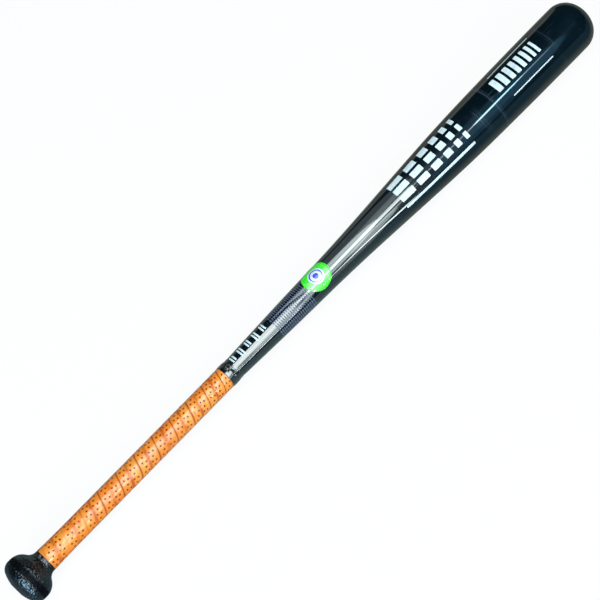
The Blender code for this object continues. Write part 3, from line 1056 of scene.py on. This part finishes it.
@dataclass
class InsideParts:
    """What the tube and the grip hide: weld bead, balance slug, stopper and sound damper."""

    tube: BatTube
    bead_start: float = 41.0 * MM
    bead_length: float = 11.0 * MM
    bead_height: float = 0.6 * MM
    scallops: float = 22
    scallop_lean: float = 420
    scallop_depth: float = 0.08 * MM
    slug: tuple[float, float] = (10.7 * MM, 32.7 * MM)
    stopper: tuple[float, float] = (33.0 * MM, 58.0 * MM)
    damper: tuple[float, float] = (726 * MM, 786 * MM)
    clearance: float = 0.3 * MM

    def bead(self) -> Piece:
        """Weld bead: a ring whose height falls with the square of the distance and rises in small beads.

        Returns:
            The bead without its finish.
        """
        station = np.linspace(self.bead_start, self.bead_start + self.bead_length, 34)
        share = (station - self.bead_start) / self.bead_length
        bore = self.tube.radius(0.0) + 0.1 * MM
        top = bore + 0.1 * MM + (self.bead_height - 0.1 * MM) * (1 - share) ** 2
        profile = np.vstack([np.stack([top, station], -1), [[bore, station[-1]], [bore, station[0]]]])

        def beads(turn: np.ndarray, at: np.ndarray) -> np.ndarray:
            """Small overlapping scallops: the absolute sine of the turn, curved along the axis."""
            back = np.abs(np.sin(turn * self.scallops + (at - self.bead_start) * self.scallop_lean))
            return -self.scallop_depth * (1 - back) * (at < self.bead_start + 0.7 * self.bead_length)

        return turned(self.tube.axis, "weld_bead", profile, 220, Wrap.RING, beads)

    def plug(self, name: str, ends: tuple[float, float], soft: float) -> Piece:
        """A round filler that follows the bore, its corners rounded by soft and its skin a little uneven.

        Args:
            name: Name of the piece.
            ends: First and last station.
            soft: Radius of the corners.

        Returns:
            The new object.
        """
        start, end = ends
        station = np.linspace(end - soft, start + soft, 22)
        side = np.stack([self.tube.bore(station) - self.clearance, station], -1)
        top = arc((side[0, 0] - soft, end - soft), soft, math.pi / 2, 0.0, 6)[:-1]
        bottom = arc((side[-1, 0] - soft, start + soft), soft, 0.0, -math.pi / 2, 6)[1:]
        head = [[0.0, end], [top[0, 0] / 2, end]]
        foot = [[bottom[-1, 0] / 2, start], [0.0, start]]
        profile = np.vstack([head, top, side, bottom, foot])

        def uneven(turn: np.ndarray, at: np.ndarray) -> np.ndarray:
            """Shallow hollows in the skin of the soft fillers, never past the bore."""
            hollow = ripples(around(10 * MM, turn, at), 7 * MM, 12, 5) * 0.12 * MM - 0.1 * MM
            return np.minimum(hollow, 0.0) * (soft > 1.2 * MM)

        return turned(self.tube.axis, name, profile, 72, relief=uneven)

    def dress(self) -> list[Piece]:
        """Builds and dresses the four pieces.

        Returns:
            The dressed pieces.
        """
        weld = TurnedMetal("ground_weld", (0.70, 0.71, 0.73), (0.52, 0.51, 0.49))
        steel = TurnedMetal("slug_metal", (0.45, 0.45, 0.46), (0.30, 0.28, 0.26))
        grey = CellFoam("grey_cell_foam", (0.12, 0.12, 0.13), (0.03, 0.03, 0.03))
        cream = CellFoam("cream_cell_foam", (0.80, 0.70, 0.46), (0.42, 0.33, 0.17))
        bead = self.bead()
        slug = self.plug("steel_slug", self.slug, 1.0 * MM)
        stopper = self.plug("foam_stopper", self.stopper, 1.6 * MM)
        damper = self.plug("foam_damper", self.damper, 3.0 * MM)
        return [
            settle(bead, weld.material(), "knob_weld"),
            settle(slug, steel.material(), "balance_slug"),
            settle(stopper, grey.material(), "handle_stopper"),
            settle(damper, cream.material(), "sound_damper"),
        ]


@dataclass
class GripTape:
    """One perforated strip wound up the handle, with open seams, a middle valley and square-cut ends.

    Positions across the strip run from its knob-side edge, and positions along it grow towards the knob.
    Its seams are narrow and shallow up to the first station of snug, and full from the second on. Sag, dents
    and puckers each have a mean length of wave and a height.
    """

    tube: BatTube
    start: float = 41.0 * MM
    end: float = 301.0 * MM
    pitch: float = 25.5 * MM
    tightening: float = 0.575 * MM
    mean_pitch: float = 24.9 * MM
    first_seam: float = 118.2 * MM
    outer_radius: float = 12.24 * MM
    thickness: float = 0.95 * MM
    seam_width: float = 0.04 * MM
    edge_drop: float = 0.15 * MM
    edge_round: float = 1.1 * MM
    valley_depth: float = 0.12 * MM
    valley_width: float = 1.6 * MM
    strip_width: float = 23.4 * MM
    hole_period: float = 10.0 * MM
    hole_diameter: float = 1.9 * MM
    hole_depth: float = 0.06 * MM
    bead_lift: float = 0.62 * MM
    taped_start: float = 294.6 * MM
    taped_squeeze: float = 0.38 * MM
    slack_reach: float = 40 * MM
    snug: tuple[float, float] = (60 * MM, 118 * MM)
    sag: tuple[float, float] = (15 * MM, 0.04 * MM)
    dents: tuple[float, float] = (5 * MM, 0.010 * MM)
    puckers: tuple[float, float] = (3.2 * MM, 0.006 * MM)
    pucker_reach: float = 3 * MM
    lattice: tuple[tuple[float, float, float, float], ...] = (
        (6.35 * MM, 2.35 * MM, 6.36 * MM, 1.36 * MM),
        (16.5 * MM, 2.2 * MM, 9.74 * MM, 4.74 * MM),
    )

    def seam(self, turns: np.ndarray) -> np.ndarray:
        """Station of the knob-side edge: even turns, closer by the square of those past the third."""
        return self.first_seam + self.pitch * turns - self.tightening * np.maximum(turns - 3, 0) ** 2

    def columns(self) -> np.ndarray:
        """Positions across the strip, closer together at the edges, the valley and the hole columns.

        Returns:
            Rising shares of the strip's width.
        """
        holes = [middle + side * spread for middle, spread, *_ in self.lattice for side in (-1, 0, 1)]
        near = np.array([-0.75, -0.42, 0.0, 0.42, 0.75]) * MM
        edges = np.array([0.0, 0.15, 0.4, 0.8, 1.3]) * MM
        middle = self.strip_width / 2 + np.array([-2.0, -1.2, -0.6, 0.0, 0.6, 1.2, 2.0]) * MM
        across = np.concatenate([*(np.array(holes)[:, None] + near), edges, self.strip_width - edges, middle])
        across = np.unique(np.round(across, 6))
        wide = np.flatnonzero(np.diff(across) > 1.1 * MM)
        return np.sort(np.concatenate([across, (across[wide] + across[wide + 1]) / 2])) / self.strip_width

    def rows(self, first: float, last: float) -> np.ndarray:
        """Turns at which the section is placed, closer together where holes lie.

        Args:
            first: Turns at the strip's start.
            last: Turns at its end.

        Returns:
            Rising turns.
        """
        per_turn = self.length_of_turn()
        phases = [phase for *_, single, pair in self.lattice for phase in (single, pair)]
        near = np.array([-0.7, -0.35, 0.0, 0.35, 0.7]) * MM
        start, end = (turn * per_turn / self.hole_period for turn in (first, last))
        count = np.arange(math.floor(start) - 3, math.ceil(end) + 3)
        along = (count[:, None, None] * self.hole_period - np.array(phases)[None, :, None] + near).ravel()
        turns = np.unique(np.round(along / per_turn, 7))
        turns = turns[(turns > first) & (turns < last)]
        turns = np.concatenate([[first], turns, [last]])
        wide = np.flatnonzero(np.diff(turns) * per_turn > 0.8 * MM)
        return np.sort(np.concatenate([turns, (turns[wide] + turns[wide + 1]) / 2]))

    def length_of_turn(self) -> float:
        """Length along the strip in one turn: the slant of the circumference and the pitch."""
        return math.hypot(2 * math.pi * self.outer_radius, self.mean_pitch)

    def holes(self, along: np.ndarray, across: np.ndarray) -> np.ndarray:
        """Distance to the nearest hole's middle, on a staggered lattice that repeats along the strip.

        Args:
            along: Positions along the strip.
            across: Positions across it.

        Returns:
            The distances.
        """
        nearest = np.full(np.broadcast_shapes(along.shape, across.shape), 1.0)
        half = self.hole_period / 2
        for middle, spread, single, pair in self.lattice:
            off = across - middle
            for reach, phase in ((off, single), (np.abs(off) - spread, pair)):
                step = (along - phase + half) % self.hole_period - half
                nearest = np.minimum(nearest, np.hypot(reach, step))
        return nearest

    def lay(self, station: np.ndarray) -> np.ndarray:
        """Lift of the strip: over the weld bead, onto the flare, and less where the vinyl presses it down.

        Args:
            station: Stations along the grip.

        Returns:
            The lift at each.
        """
        slack = np.clip(1 - (station - self.start) / self.slack_reach, 0.0, 1.0) ** 2
        squeeze = self.taped_squeeze * smooth(station, self.taped_start, self.taped_start + 1.5 * MM)
        return self.tube.radius(station) - self.tube.radius(0.0) + slack * self.bead_lift - squeeze

    def build(self) -> Piece:
        """Sweeps the strip's closed section along the helix.

        The section runs over the outer face from the knob-side edge to the other, and back underneath. Its
        edges are clamped between the grip's square ends, so that the strip starts and ends as a wedge. Its
        first and last sections are drawn together, so that it is closed.

        Returns:
            The new object.
        """
        first = (self.start - self.first_seam) / self.pitch - 1.0
        tried = np.linspace(4.0, 9.0, 2001)
        last = float(tried[np.searchsorted(self.seam(tried), self.end)]) + 0.02
        turns = self.rows(first, last)[:, None]
        share = self.columns()
        under = np.linspace(1, 0, 7)
        low, high = self.seam(turns), self.seam(turns + 1)
        full = smooth(low, *self.snug)
        gap = self.seam_width * (0.35 + 0.65 * full) / 2
        station = low + gap + share * (high - low - 2 * gap)
        beneath = low + gap + under * (high - low - 2 * gap)
        across = share * self.strip_width
        shift = (station - low) * self.mean_pitch / self.length_of_turn()
        along = -turns * self.length_of_turn() - shift + 4 * self.length_of_turn()
        edge = np.minimum(across, self.strip_width - across)
        drop = (1 - smooth(edge, -0.2 * MM, self.edge_round)) * (0.4 + 0.6 * full)
        valley = np.exp(-(((across - self.strip_width / 2) / self.valley_width) ** 2))
        flat = np.stack(np.broadcast_arrays(along, across), -1)
        dimple = 1 - smooth(self.holes(along, across), self.hole_diameter * 0.22, self.hole_diameter * 0.55)
        height = -self.edge_drop * drop - self.valley_depth * valley - self.hole_depth * dimple
        for (wave, tall), waves, seed in ((self.sag, 18, 11), (self.dents, 18, 12)):
            height += ripples(flat, wave, waves, seed) * tall
        wave, tall = self.puckers
        near_edge = np.exp(-((edge / self.pucker_reach) ** 2))
        height += ripples(flat * [1.0, 0.25], wave, 16, 13) * tall * near_edge
        outer = self.outer_radius + height + self.lay(station)
        inner = self.outer_radius - self.thickness + self.lay(beneath)
        station, beneath = (np.clip(s, self.start, self.end) for s in (station, beneath))
        turn = FRONT - 2 * math.pi * turns
        points = np.concatenate(
            [self.tube.axis.place(outer, turn, station), self.tube.axis.place(inner, turn, beneath)], axis=1
        )
        strip = np.stack(np.broadcast_arrays(along, across), -1)
        back = np.stack(np.broadcast_arrays(along[:, -1:] + 0 * under, 0.3 * MM + 0 * under), -1)
        strip = np.concatenate([strip, back, strip[:, :1]], axis=1)
        for row in (0, -1):
            points[row] = points[row].mean(0)
        return surface("wound_grip", points, Wrap.ROUND, {"strip": strip}, folds=6, crease=50.0)

    def dress(self) -> Piece:
        """The strip in perforated leather, standing for its solid."""
        return settle(self.build(), GripLeather().material(self), "grip_tape")


@dataclass
class FinishBand:
    """Vinyl tape stretched over the grip's end and down onto the tube, with its own wrinkles."""

    grip: GripTape
    start: float = 294.8 * MM
    edge: float = 301.3 * MM
    slope_end: float = 305.8 * MM
    tail_end: float = 308.6 * MM
    thickness: float = 0.22 * MM
    pucker_middle: float = 303 * MM
    pucker_reach: float = 3.4 * MM
    pucker_wave: float = 3.6 * MM
    pucker_height: float = 0.08 * MM
    unevenness: float = 0.02 * MM
    layer_end: tuple[float, float] = (299.2 * MM, 299.4 * MM)
    layer_height: float = 0.08 * MM

    def relief(self, turn: np.ndarray, station: np.ndarray) -> np.ndarray:
        """Lengthwise puckers on the slope: waves that change fast round the axis and slowly along it.

        Args:
            turn: Turns of the points.
            station: Their stations.

        Returns:
            Their heights.
        """
        from_middle = (station - self.pucker_middle) / self.pucker_reach
        strength = self.unevenness + self.pucker_height * np.exp(-(from_middle**2))
        return ripples(around(12 * MM, turn, station * 0.5), self.pucker_wave, 20, 21) * strength

    def dress(self) -> Piece:
        """Turns the band from its edge over the grip down to the tube, and back under itself.

        Returns:
            The dressed piece.
        """
        tube = self.grip.tube
        over = self.grip.outer_radius + float(self.grip.lay(np.array(self.edge))) + 0.08 * MM
        low = tube.radius(np.array([self.slope_end, self.tail_end])) + 0.1 * MM
        inside = np.array(
            [[over, self.start], [over, self.edge], [low[0], self.slope_end], [low[1], self.tail_end]]
        )
        station = np.linspace(self.start, self.tail_end, 46)
        under = np.interp(station, inside[:, 1], inside[:, 0])
        soft = np.convolve(np.pad(under, 3, mode="edge"), np.ones(7) / 7, mode="valid")
        lip = np.minimum(1.0, 0.35 + (station - self.start) / (0.5 * MM)) * self.thickness
        layer = self.layer_height * (1 - smooth(station, *self.layer_end))
        outer = np.stack([np.maximum(soft, under) + lip + layer, station], -1)
        profile = np.vstack([outer, inside[::-1]])
        piece = turned(tube.axis, "vinyl_band", profile, 192, Wrap.RING, self.relief)
        return settle(piece, BlackVinyl().material(), "finish_band")


@dataclass
class RoundSticker:
    """Thin round sticker wrapped onto the flare."""

    tube: BatTube
    diameter: float = 32.5 * MM
    centre: float = 431.3 * MM
    turn: float = math.radians(185)
    face: float = 0.5 * MM
    back: float = 0.3 * MM
    rows: int = 49
    columns: int = 49

    def dress(self) -> Piece:
        """Builds the disc on a square grid, bent to a circle by the half chord at each row.

        Returns:
            The dressed piece.
        """
        angle = np.linspace(-math.pi / 2, math.pi / 2, self.rows)[:, None]
        along = np.sin(angle)
        across = np.cos(angle) * np.sin(np.linspace(-math.pi / 2, math.pi / 2, self.columns))
        radius = self.diameter / 2
        station = self.centre + radius * along + 0 * across
        turn = self.turn + radius * across / self.tube.radius(station)
        curl = 1 - smooth(np.hypot(along, across), 0.90, 1.0) * 0.25
        points = self.tube.film(turn, station, self.face * curl, self.back)
        flat = np.stack(np.broadcast_arrays(across, along), -1)
        disc = np.concatenate([flat, flat[:, ::-1], flat[:, :1]], axis=1)
        piece = surface("sticker_film", points, Wrap.ROUND, {"disc": disc})
        return settle(piece, PrintedFilm().material(), "round_sticker")


@dataclass(frozen=True)
class Bar:
    """One plain printed bar.

    Args:
        start: First station.
        end: Last station.
        low: Lower angle from the front line, in degrees, positive towards the near side.
        high: Upper angle.
    """

    start: float
    end: float
    low: float
    high: float


def bar_row(start: float, lengths: Sequence[float], gap: float, low: float, high: float) -> list[Bar]:
    """Bars one after another along the bat, with the same angles.

    Args:
        start: Station of the first.
        lengths: Their lengths.
        gap: Length of the gaps between them.
        low: Lower angle, as in Bar.
        high: Upper angle.

    Returns:
        The bars.
    """
    made, at = [], start
    for length in lengths:
        made.append(Bar(at, at + length, low, high))
        at += length + gap
    return made


def block_bars() -> list[Bar]:
    """The white print: stepped blocks on the barrel, upright bars near the head, and rows on the flare.

    Returns:
        The bars.
    """
    blocks, uprights, flare, flare_period = 549 * MM, 703 * MM, 309.5 * MM, 10.8 * MM
    steps = [length * MM for length in (19, 15, 12, 9.5, 7, 5)]
    widths = [width * MM for width in (7, 6.5, 6, 5.5, 5, 4.5, 4, 3.5)]
    made = []
    for low, high in ((-57, -38), (-30, -12), (-4, 13)):
        made += bar_row(blocks, steps, 6.3 * MM, low, high)
    made += [Bar(blocks, 648 * MM, 28, 35)]
    made += bar_row(uprights, widths, 3.2 * MM, -43, -8)
    made += [Bar(708 * MM, 770 * MM, -58, -56), Bar(712 * MM, 772 * MM, 17.5, 20)]
    for k in range(5):
        made += bar_row(flare + flare_period * k, [1.9 * MM] * 2, 1.4 * MM, -62, -22 + 12 * (k % 2))
    return made


def tick_bars() -> list[Bar]:
    """The pale print on the flare: an even field of short ticks.

    Returns:
        The bars.
    """
    start, period, length, height = 365.5 * MM, 2.6 * MM, 1.2 * MM, 13
    stations = [start + period * k for k in range(19)]
    lows = range(-72, 66, 17)
    return [Bar(at, at + length, low, low + height) for at in stations for low in lows]


@dataclass
class BarrelPrint:
    """One colour of the print as a thin film of ink: plain bars with rounded corners."""

    tube: BatTube
    name: str
    ink: WhiteInk
    bars: list[Bar]
    face: float = 0.05 * MM
    back: float = 0.01 * MM
    corner: float = 0.7 * MM
    rows: int = 14
    columns: int = 10

    def one(self, bar: Bar) -> np.ndarray:
        """Grid of one bar, drawn in near its ends along the corner's quarter circle.

        Args:
            bar: The bar.

        Returns:
            Its grid of points.
        """
        radius = float(self.tube.radius(np.array((bar.start + bar.end) / 2)))
        half = radius * math.radians(bar.high - bar.low) / 2
        corner = min(self.corner, half * 0.9, (bar.end - bar.start) * 0.45)
        from_end = corner * (1 - np.cos(np.linspace(0, math.pi / 2, 5)))
        middle = np.linspace(corner, bar.end - bar.start - corner, self.rows - 8)[1:-1]
        along = np.concatenate([from_end, middle, bar.end - bar.start - from_end[::-1]])[:, None]
        depth = np.clip(corner - np.minimum(along, bar.end - bar.start - along), 0.0, corner)
        reach = half - corner + np.sqrt(corner**2 - depth**2)
        across = reach * np.linspace(-1, 1, self.columns)
        turn = FRONT + math.radians((bar.low + bar.high) / 2) + across / radius
        station = bar.start + along + 0 * across
        return self.tube.film(turn, station, self.face, self.back)

    def dress(self) -> Piece:
        """Joins all the bars' films into one piece of ink.

        Returns:
            The dressed piece.
        """
        parts = [surface(f"bar_{k}", self.one(bar), Wrap.ROUND) for k, bar in enumerate(self.bars)]
        form = bmesh.new()
        for part in parts:
            form.from_mesh(part.data)
        mesh = bpy.data.meshes.new(self.name)
        form.to_mesh(mesh)
        form.free()
        for part in parts:
            bpy.data.objects.remove(part)
        return settle(smoothed(self.name, mesh), self.ink.material())


# ---------------------------------------------------------------- studio


NEUTRAL: Colour = (1.0, 0.98, 0.98)
WHITE = (1.0, 1.0, 1.0, 1.0)


def stood(columns: np.ndarray, at: np.ndarray) -> Matrix:
    """The matrix of something that stands at a point.

    Args:
        columns: Its axes as the columns of a matrix.
        at: The point.

    Returns:
        The matrix.
    """
    made = np.eye(4)
    made[:3, :3], made[:3, 3] = columns, at
    return Matrix(made.tolist())


def white_share(nodes: Nodes, clear: float, glossy: float) -> Socket:
    """How much of plain white a ray is shown: the largest of the shares that apply.

    Args:
        nodes: The nodes of the floor or the world.
        clear: Share for rays from the camera or through something clear.
        glossy: Share for rays off a glossy surface, which show a dim room as the lacquer does.

    Returns:
        The share.
    """
    ray = nodes.node("ShaderNodeLightPath", {}).outputs
    seen, passed = (nodes.times(ray[kind], clear) for kind in ("Is Camera Ray", "Is Transmission Ray"))
    return nodes.most(nodes.most(seen, passed), nodes.times(ray["Is Glossy Ray"], glossy))


@dataclass(frozen=True)
class Softbox:
    """A soft lamp, placed by where its reflection lies along the bat.

    Args:
        name: Name of the lamp.
        ends: Station and turn in degrees of each end of its middle line: the station of the bat in whose
            front that end is seen, and the direction from the axis in which it stands.
        spread: The angle that its width fills, in degrees.
        distance: Its distance from the axis.
        level: Its brightness as a surface.
        tint: Its colour.
        oval: Whether it is an oval and not a rectangle.
        fill: Whether it only lights, and isn't mirrored by gloss.
    """

    name: str
    ends: tuple[tuple[float, float], tuple[float, float]]
    spread: float
    distance: float
    level: float
    tint: Colour = (0.87, 1.0, 1.0)
    oval: bool = False
    fill: bool = False

    def add(self, tube: BatTube, camera_at: float, camera_off: float) -> None:
        """Adds the lamp.

        A ray from the camera to station s leaves a straight tube with the same slope along it, and leaves a
        taper with twice the taper's slope less. At a distance it is at s + distance * ((s - camera's
        station) / camera's distance - 2 * slope).

        Args:
            tube: The tube that the lamp is seen in.
            camera_at: The camera's place along the axis, as a station.
            camera_off: The camera's distance from the axis.
        """
        axis = tube.axis
        seen, turn = np.array(self.ends).T
        slope = (tube.radius(seen + 1 * MM) - tube.radius(seen - 1 * MM)) / (2 * MM)
        station = seen + self.distance * ((seen - camera_at) / camera_off - 2 * slope)
        corners = axis.place(np.array(self.distance), np.radians(turn), station)
        lamp = bpy.data.lights.new(self.name, "AREA")
        lamp.shape = "ELLIPSE" if self.oval else "RECTANGLE"
        lamp.size = float(np.linalg.norm(corners[1] - corners[0]))
        lamp.size_y = 2 * self.distance * math.tan(math.radians(self.spread) / 2)
        lamp.energy = self.level * math.pi * lamp.size * lamp.size_y * (math.pi / 4 if self.oval else 1.0)
        lamp.color = self.tint
        at = corners.mean(0)
        foot = axis.origin + axis.heading * ((at - axis.origin) @ axis.heading)
        along = (corners[1] - corners[0]) / lamp.size
        outward = (at - foot) - ((at - foot) @ along) * along
        outward /= np.linalg.norm(outward)
        holder = linked(self.name, lamp)
        holder.matrix_world = stood(np.stack([along, np.cross(outward, along), outward], -1), at)
        holder.visible_camera = False
        holder.visible_glossy = not self.fill


@dataclass
class Studio:
    """Camera, floor, world and lamps."""

    tube: BatTube
    aim: float = 405.2 * MM
    aside: float = 0.985 * MM
    distance: float = 2206.5 * MM
    lean: float = math.radians(11.56)
    focal_pixels: float = 2171
    picture_pixels: float = 600
    sensor: float = 36.0
    tilt: float = math.radians(45.534)
    room: tuple[float, float, float, float] = (0.60, 0.90, 1.0, 1.0)
    room_level: float = 0.02
    floor_reach: float = 12.0
    floor_drop: float = 0.2 * MM
    lamps: tuple[Softbox, ...] = (
        Softbox("grip_start", ((0.041, 201.0), (0.09, 199.0)), 48, 8.0, 4.75, NEUTRAL),
        Softbox("grip_softbox", ((0.09, 199.0), (0.290, 199.0)), 48, 8.0, 9.03, (0.90, 1.0, 1.0)),
        Softbox("flare_softbox", ((0.389, 199.0), (0.401, 199.0)), 48, 8.0, 9.03),
        Softbox("taper_core", ((0.398, 203.5), (0.562, 203.5)), 17, 1.0, 7.79),
        Softbox("taper_fan", ((0.412, 198.0), (0.512, 198.0)), 112, 1.0, 4.37, oval=True),
        Softbox("taper_low", ((0.468, 231.0), (0.538, 231.0)), 30, 1.0, 3.23, oval=True),
        Softbox("taper_foot", ((0.430, 262.0), (0.525, 262.0)), 22, 1.0, 1.14, oval=True),
        Softbox("taper_line", ((0.495, 222.0), (0.562, 224.0)), 7, 1.0, 2.85),
        Softbox("taper_veil", ((0.440, 155.0), (0.575, 155.0)), 74, 1.0, 0.427, oval=True),
        Softbox("taper_glow", ((0.440, 177.0), (0.575, 177.0)), 30, 1.0, 0.855, oval=True),
        Softbox("slanted_strip", ((0.440, 246.0), (0.562, 263.0)), 2.4, 1.0, 13.3),
        Softbox("flare_line", ((0.300, 253.0), (0.401, 253.0)), 2.4, 8.0, 20.9),
        Softbox("dim_panel", ((0.03, 235.0), (0.401, 235.0)), 24, 8.0, 2.28),
        Softbox("flare_panel", ((0.335, 236.0), (0.401, 236.0)), 26, 8.0, 2.28),
        Softbox("grip_panel", ((0.03, 250.0), (0.150, 250.0)), 30, 8.0, 2.66, (1.0, 0.93, 0.95)),
        Softbox("grip_strip", ((0.035, 240.0), (0.165, 240.0)), 2.8, 8.0, 71.2, NEUTRAL),
        Softbox("grip_back", ((-0.45, 200.0), (-0.01, 200.0)), 44, 8.0, 3.8, (0.62, 0.84, 1.0)),
        Softbox("barrel_strip", ((0.656, 212.2), (0.735, 212.2)), 6.0, 8.0, 14.7, (0.44, 0.88, 1.0), True),
        Softbox("barrel_strip_end", ((0.69, 212.2), (0.78, 212.2)), 3.4, 8.0, 3.8, (0.50, 0.85, 1.0), True),
        Softbox("barrel_panel", ((0.60, 224.0), (0.80, 224.0)), 34, 8.0, 0.304, (0.25, 0.65, 1.0)),
        Softbox("barrel_veil", ((0.60, 221.0), (0.80, 221.0)), 74, 8.0, 0.285, (0.20, 0.62, 1.0)),
        Softbox("neck_panel", ((-0.010, 222.0), (0.041, 222.0)), 60, 8.0, 4.75, (0.42, 0.72, 1.0)),
        Softbox("knob_panel", ((-2.40, 237.0), (-0.45, 237.0)), 66, 1.0, 9.5, (0.40, 0.72, 1.0), True),
        Softbox("handle_fill", ((-1.49, 203.0), (-0.31, 203.0)), 60, 1.5, 1.99, NEUTRAL, fill=True),
        Softbox("far_panel", ((0.0, 89.0), (0.82, 89.0)), 34, 3.0, 0.38, (0.97, 1.0, 0.86)),
    )

    def camera(self) -> tuple[float, float]:
        """Sets the camera so that the bat runs up to the right as in the picture.

        The camera looks at the front line, leaning towards the head. Its picture is turned by the tilt.

        Returns:
            The camera's place along the axis as a station, and its distance from the axis.
        """
        axis = self.tube.axis
        front = axis.place(np.array(1.0), np.array(FRONT), np.array(0.0)) - axis.origin
        ahead = -math.cos(self.lean) * front + math.sin(self.lean) * axis.heading
        along = axis.heading - (axis.heading @ ahead) * ahead
        along /= np.linalg.norm(along)
        near = np.cross(ahead, along)
        right = math.cos(self.tilt) * along + math.sin(self.tilt) * near
        up = math.sin(self.tilt) * along - math.cos(self.tilt) * near
        aim = axis.place(np.array(0.0), np.array(0.0), np.array(self.aim)) - self.aside * near
        at = aim - self.distance * ahead
        data = bpy.data.cameras.new("camera")
        data.lens = self.focal_pixels / self.picture_pixels * self.sensor
        data.sensor_width = self.sensor
        data.clip_start, data.clip_end = 0.1, 50.0
        holder = linked("camera", data)
        holder.matrix_world = stood(np.stack([right, up, -ahead], -1), at)
        bpy.context.scene.camera = holder
        return float((at - axis.origin) @ axis.heading), self.distance * math.cos(self.lean)

    def floor(self) -> None:
        """A wide pale floor, white to the camera, that keeps the bat's shadow and shows glossy rays painted
        reflection tones.
        """
        grid = np.linspace(-self.floor_reach, self.floor_reach, 5)
        x, y = np.meshgrid(grid, grid, indexing="ij")
        index = np.arange(x.size).reshape(x.shape)
        quads = np.stack([index[:-1, :-1], index[1:, :-1], index[1:, 1:], index[:-1, 1:]], -1).reshape(-1, 4)
        mesh = bpy.data.meshes.new("floor")
        corners = np.stack([x, y, 0 * x - self.floor_drop], -1).reshape(-1, 3)
        mesh.from_pydata(corners.tolist(), [], quads.tolist())
        floor = linked("floor", mesh)
        r = Recipe("pale_floor", Roughness=0.9)
        ray = r.node("ShaderNodeLightPath", {}).outputs
        along, aside, _ = r.apart(r.place())
        # Painted reflection: for glossy rays the floor is darker on the near side by the barrel and towards
        # the knob by the handle, which sets the tones of the bat's reflected limbs.
        wide = r.mix(r.span(aside, -0.08, -0.04), (0.010, 0.045, 0.065), (0.18, 0.17, 0.13))
        handle_reflection = r.mix(r.span(along, -0.36, -0.22), (0.06, 0.085, 0.09), (0.30, 0.36, 0.32))
        shown = r.mix(r.span(along, -0.02, 0.24), handle_reflection, wide)
        dim = r.mix(ray["Is Glossy Ray"], (0.36, 0.35, 0.33), shown)
        r.finish(Base_Color=r.mix(ray["Is Camera Ray"], dim, (0.88, 0.88, 0.88)))
        glow = r.node("ShaderNodeEmission", {"Color": WHITE, "Strength": 1.0}).outputs[0]
        r.show("Material Output", white_share(r, 0.90, 0.015), r.shader.outputs[0], glow)
        mesh.materials.append(r.material)

    def world(self) -> None:
        """A dim even room, white where the camera sees it."""
        world = bpy.data.worlds.new("room")
        world.use_nodes = True
        bpy.context.scene.world = world
        nodes = Nodes(world.node_tree)
        white = nodes.node("ShaderNodeBackground", {"Color": WHITE}).outputs[0]
        room = nodes.tree.nodes["Background"]
        room.inputs["Color"].default_value = self.room
        room.inputs["Strength"].default_value = self.room_level
        nodes.show("World Output", white_share(nodes, 1.0, 0.003), room.outputs[0], white)

    def build(self) -> None:
        """Sets up the whole studio."""
        bpy.context.scene.view_settings.view_transform = "Standard"
        seen_from = self.camera()
        self.floor()
        self.world()
        for lamp in self.lamps:
            lamp.add(self.tube, *seen_from)


def main() -> None:
    """Loads the solids, dresses the bat piece by piece and sets up the studio."""
    logging.basicConfig(level=logging.INFO, format="%(name)s: %(message)s")
    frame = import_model()
    axis = BatAxis.from_record(frame["record"])
    tube = BatTube(axis)
    Studio(tube).build()
    tube.dress()
    HeadPlug(tube).dress()
    Knob(tube).dress()
    KnobPlug(tube).dress()
    InsideParts(tube).dress()
    grip = GripTape(tube)
    grip.dress()
    FinishBand(grip).dress()
    RoundSticker(tube).dress()
    BarrelPrint(tube, "printed_blocks", WhiteInk(), block_bars()).dress()
    pale_ink = WhiteInk("pale_print", (0.11, 0.13, 0.20), (0.05, 0.065, 0.10))
    BarrelPrint(tube, "printed_ticks", pale_ink, tick_bars()).dress()


if __name__ == "__main__":
    main()
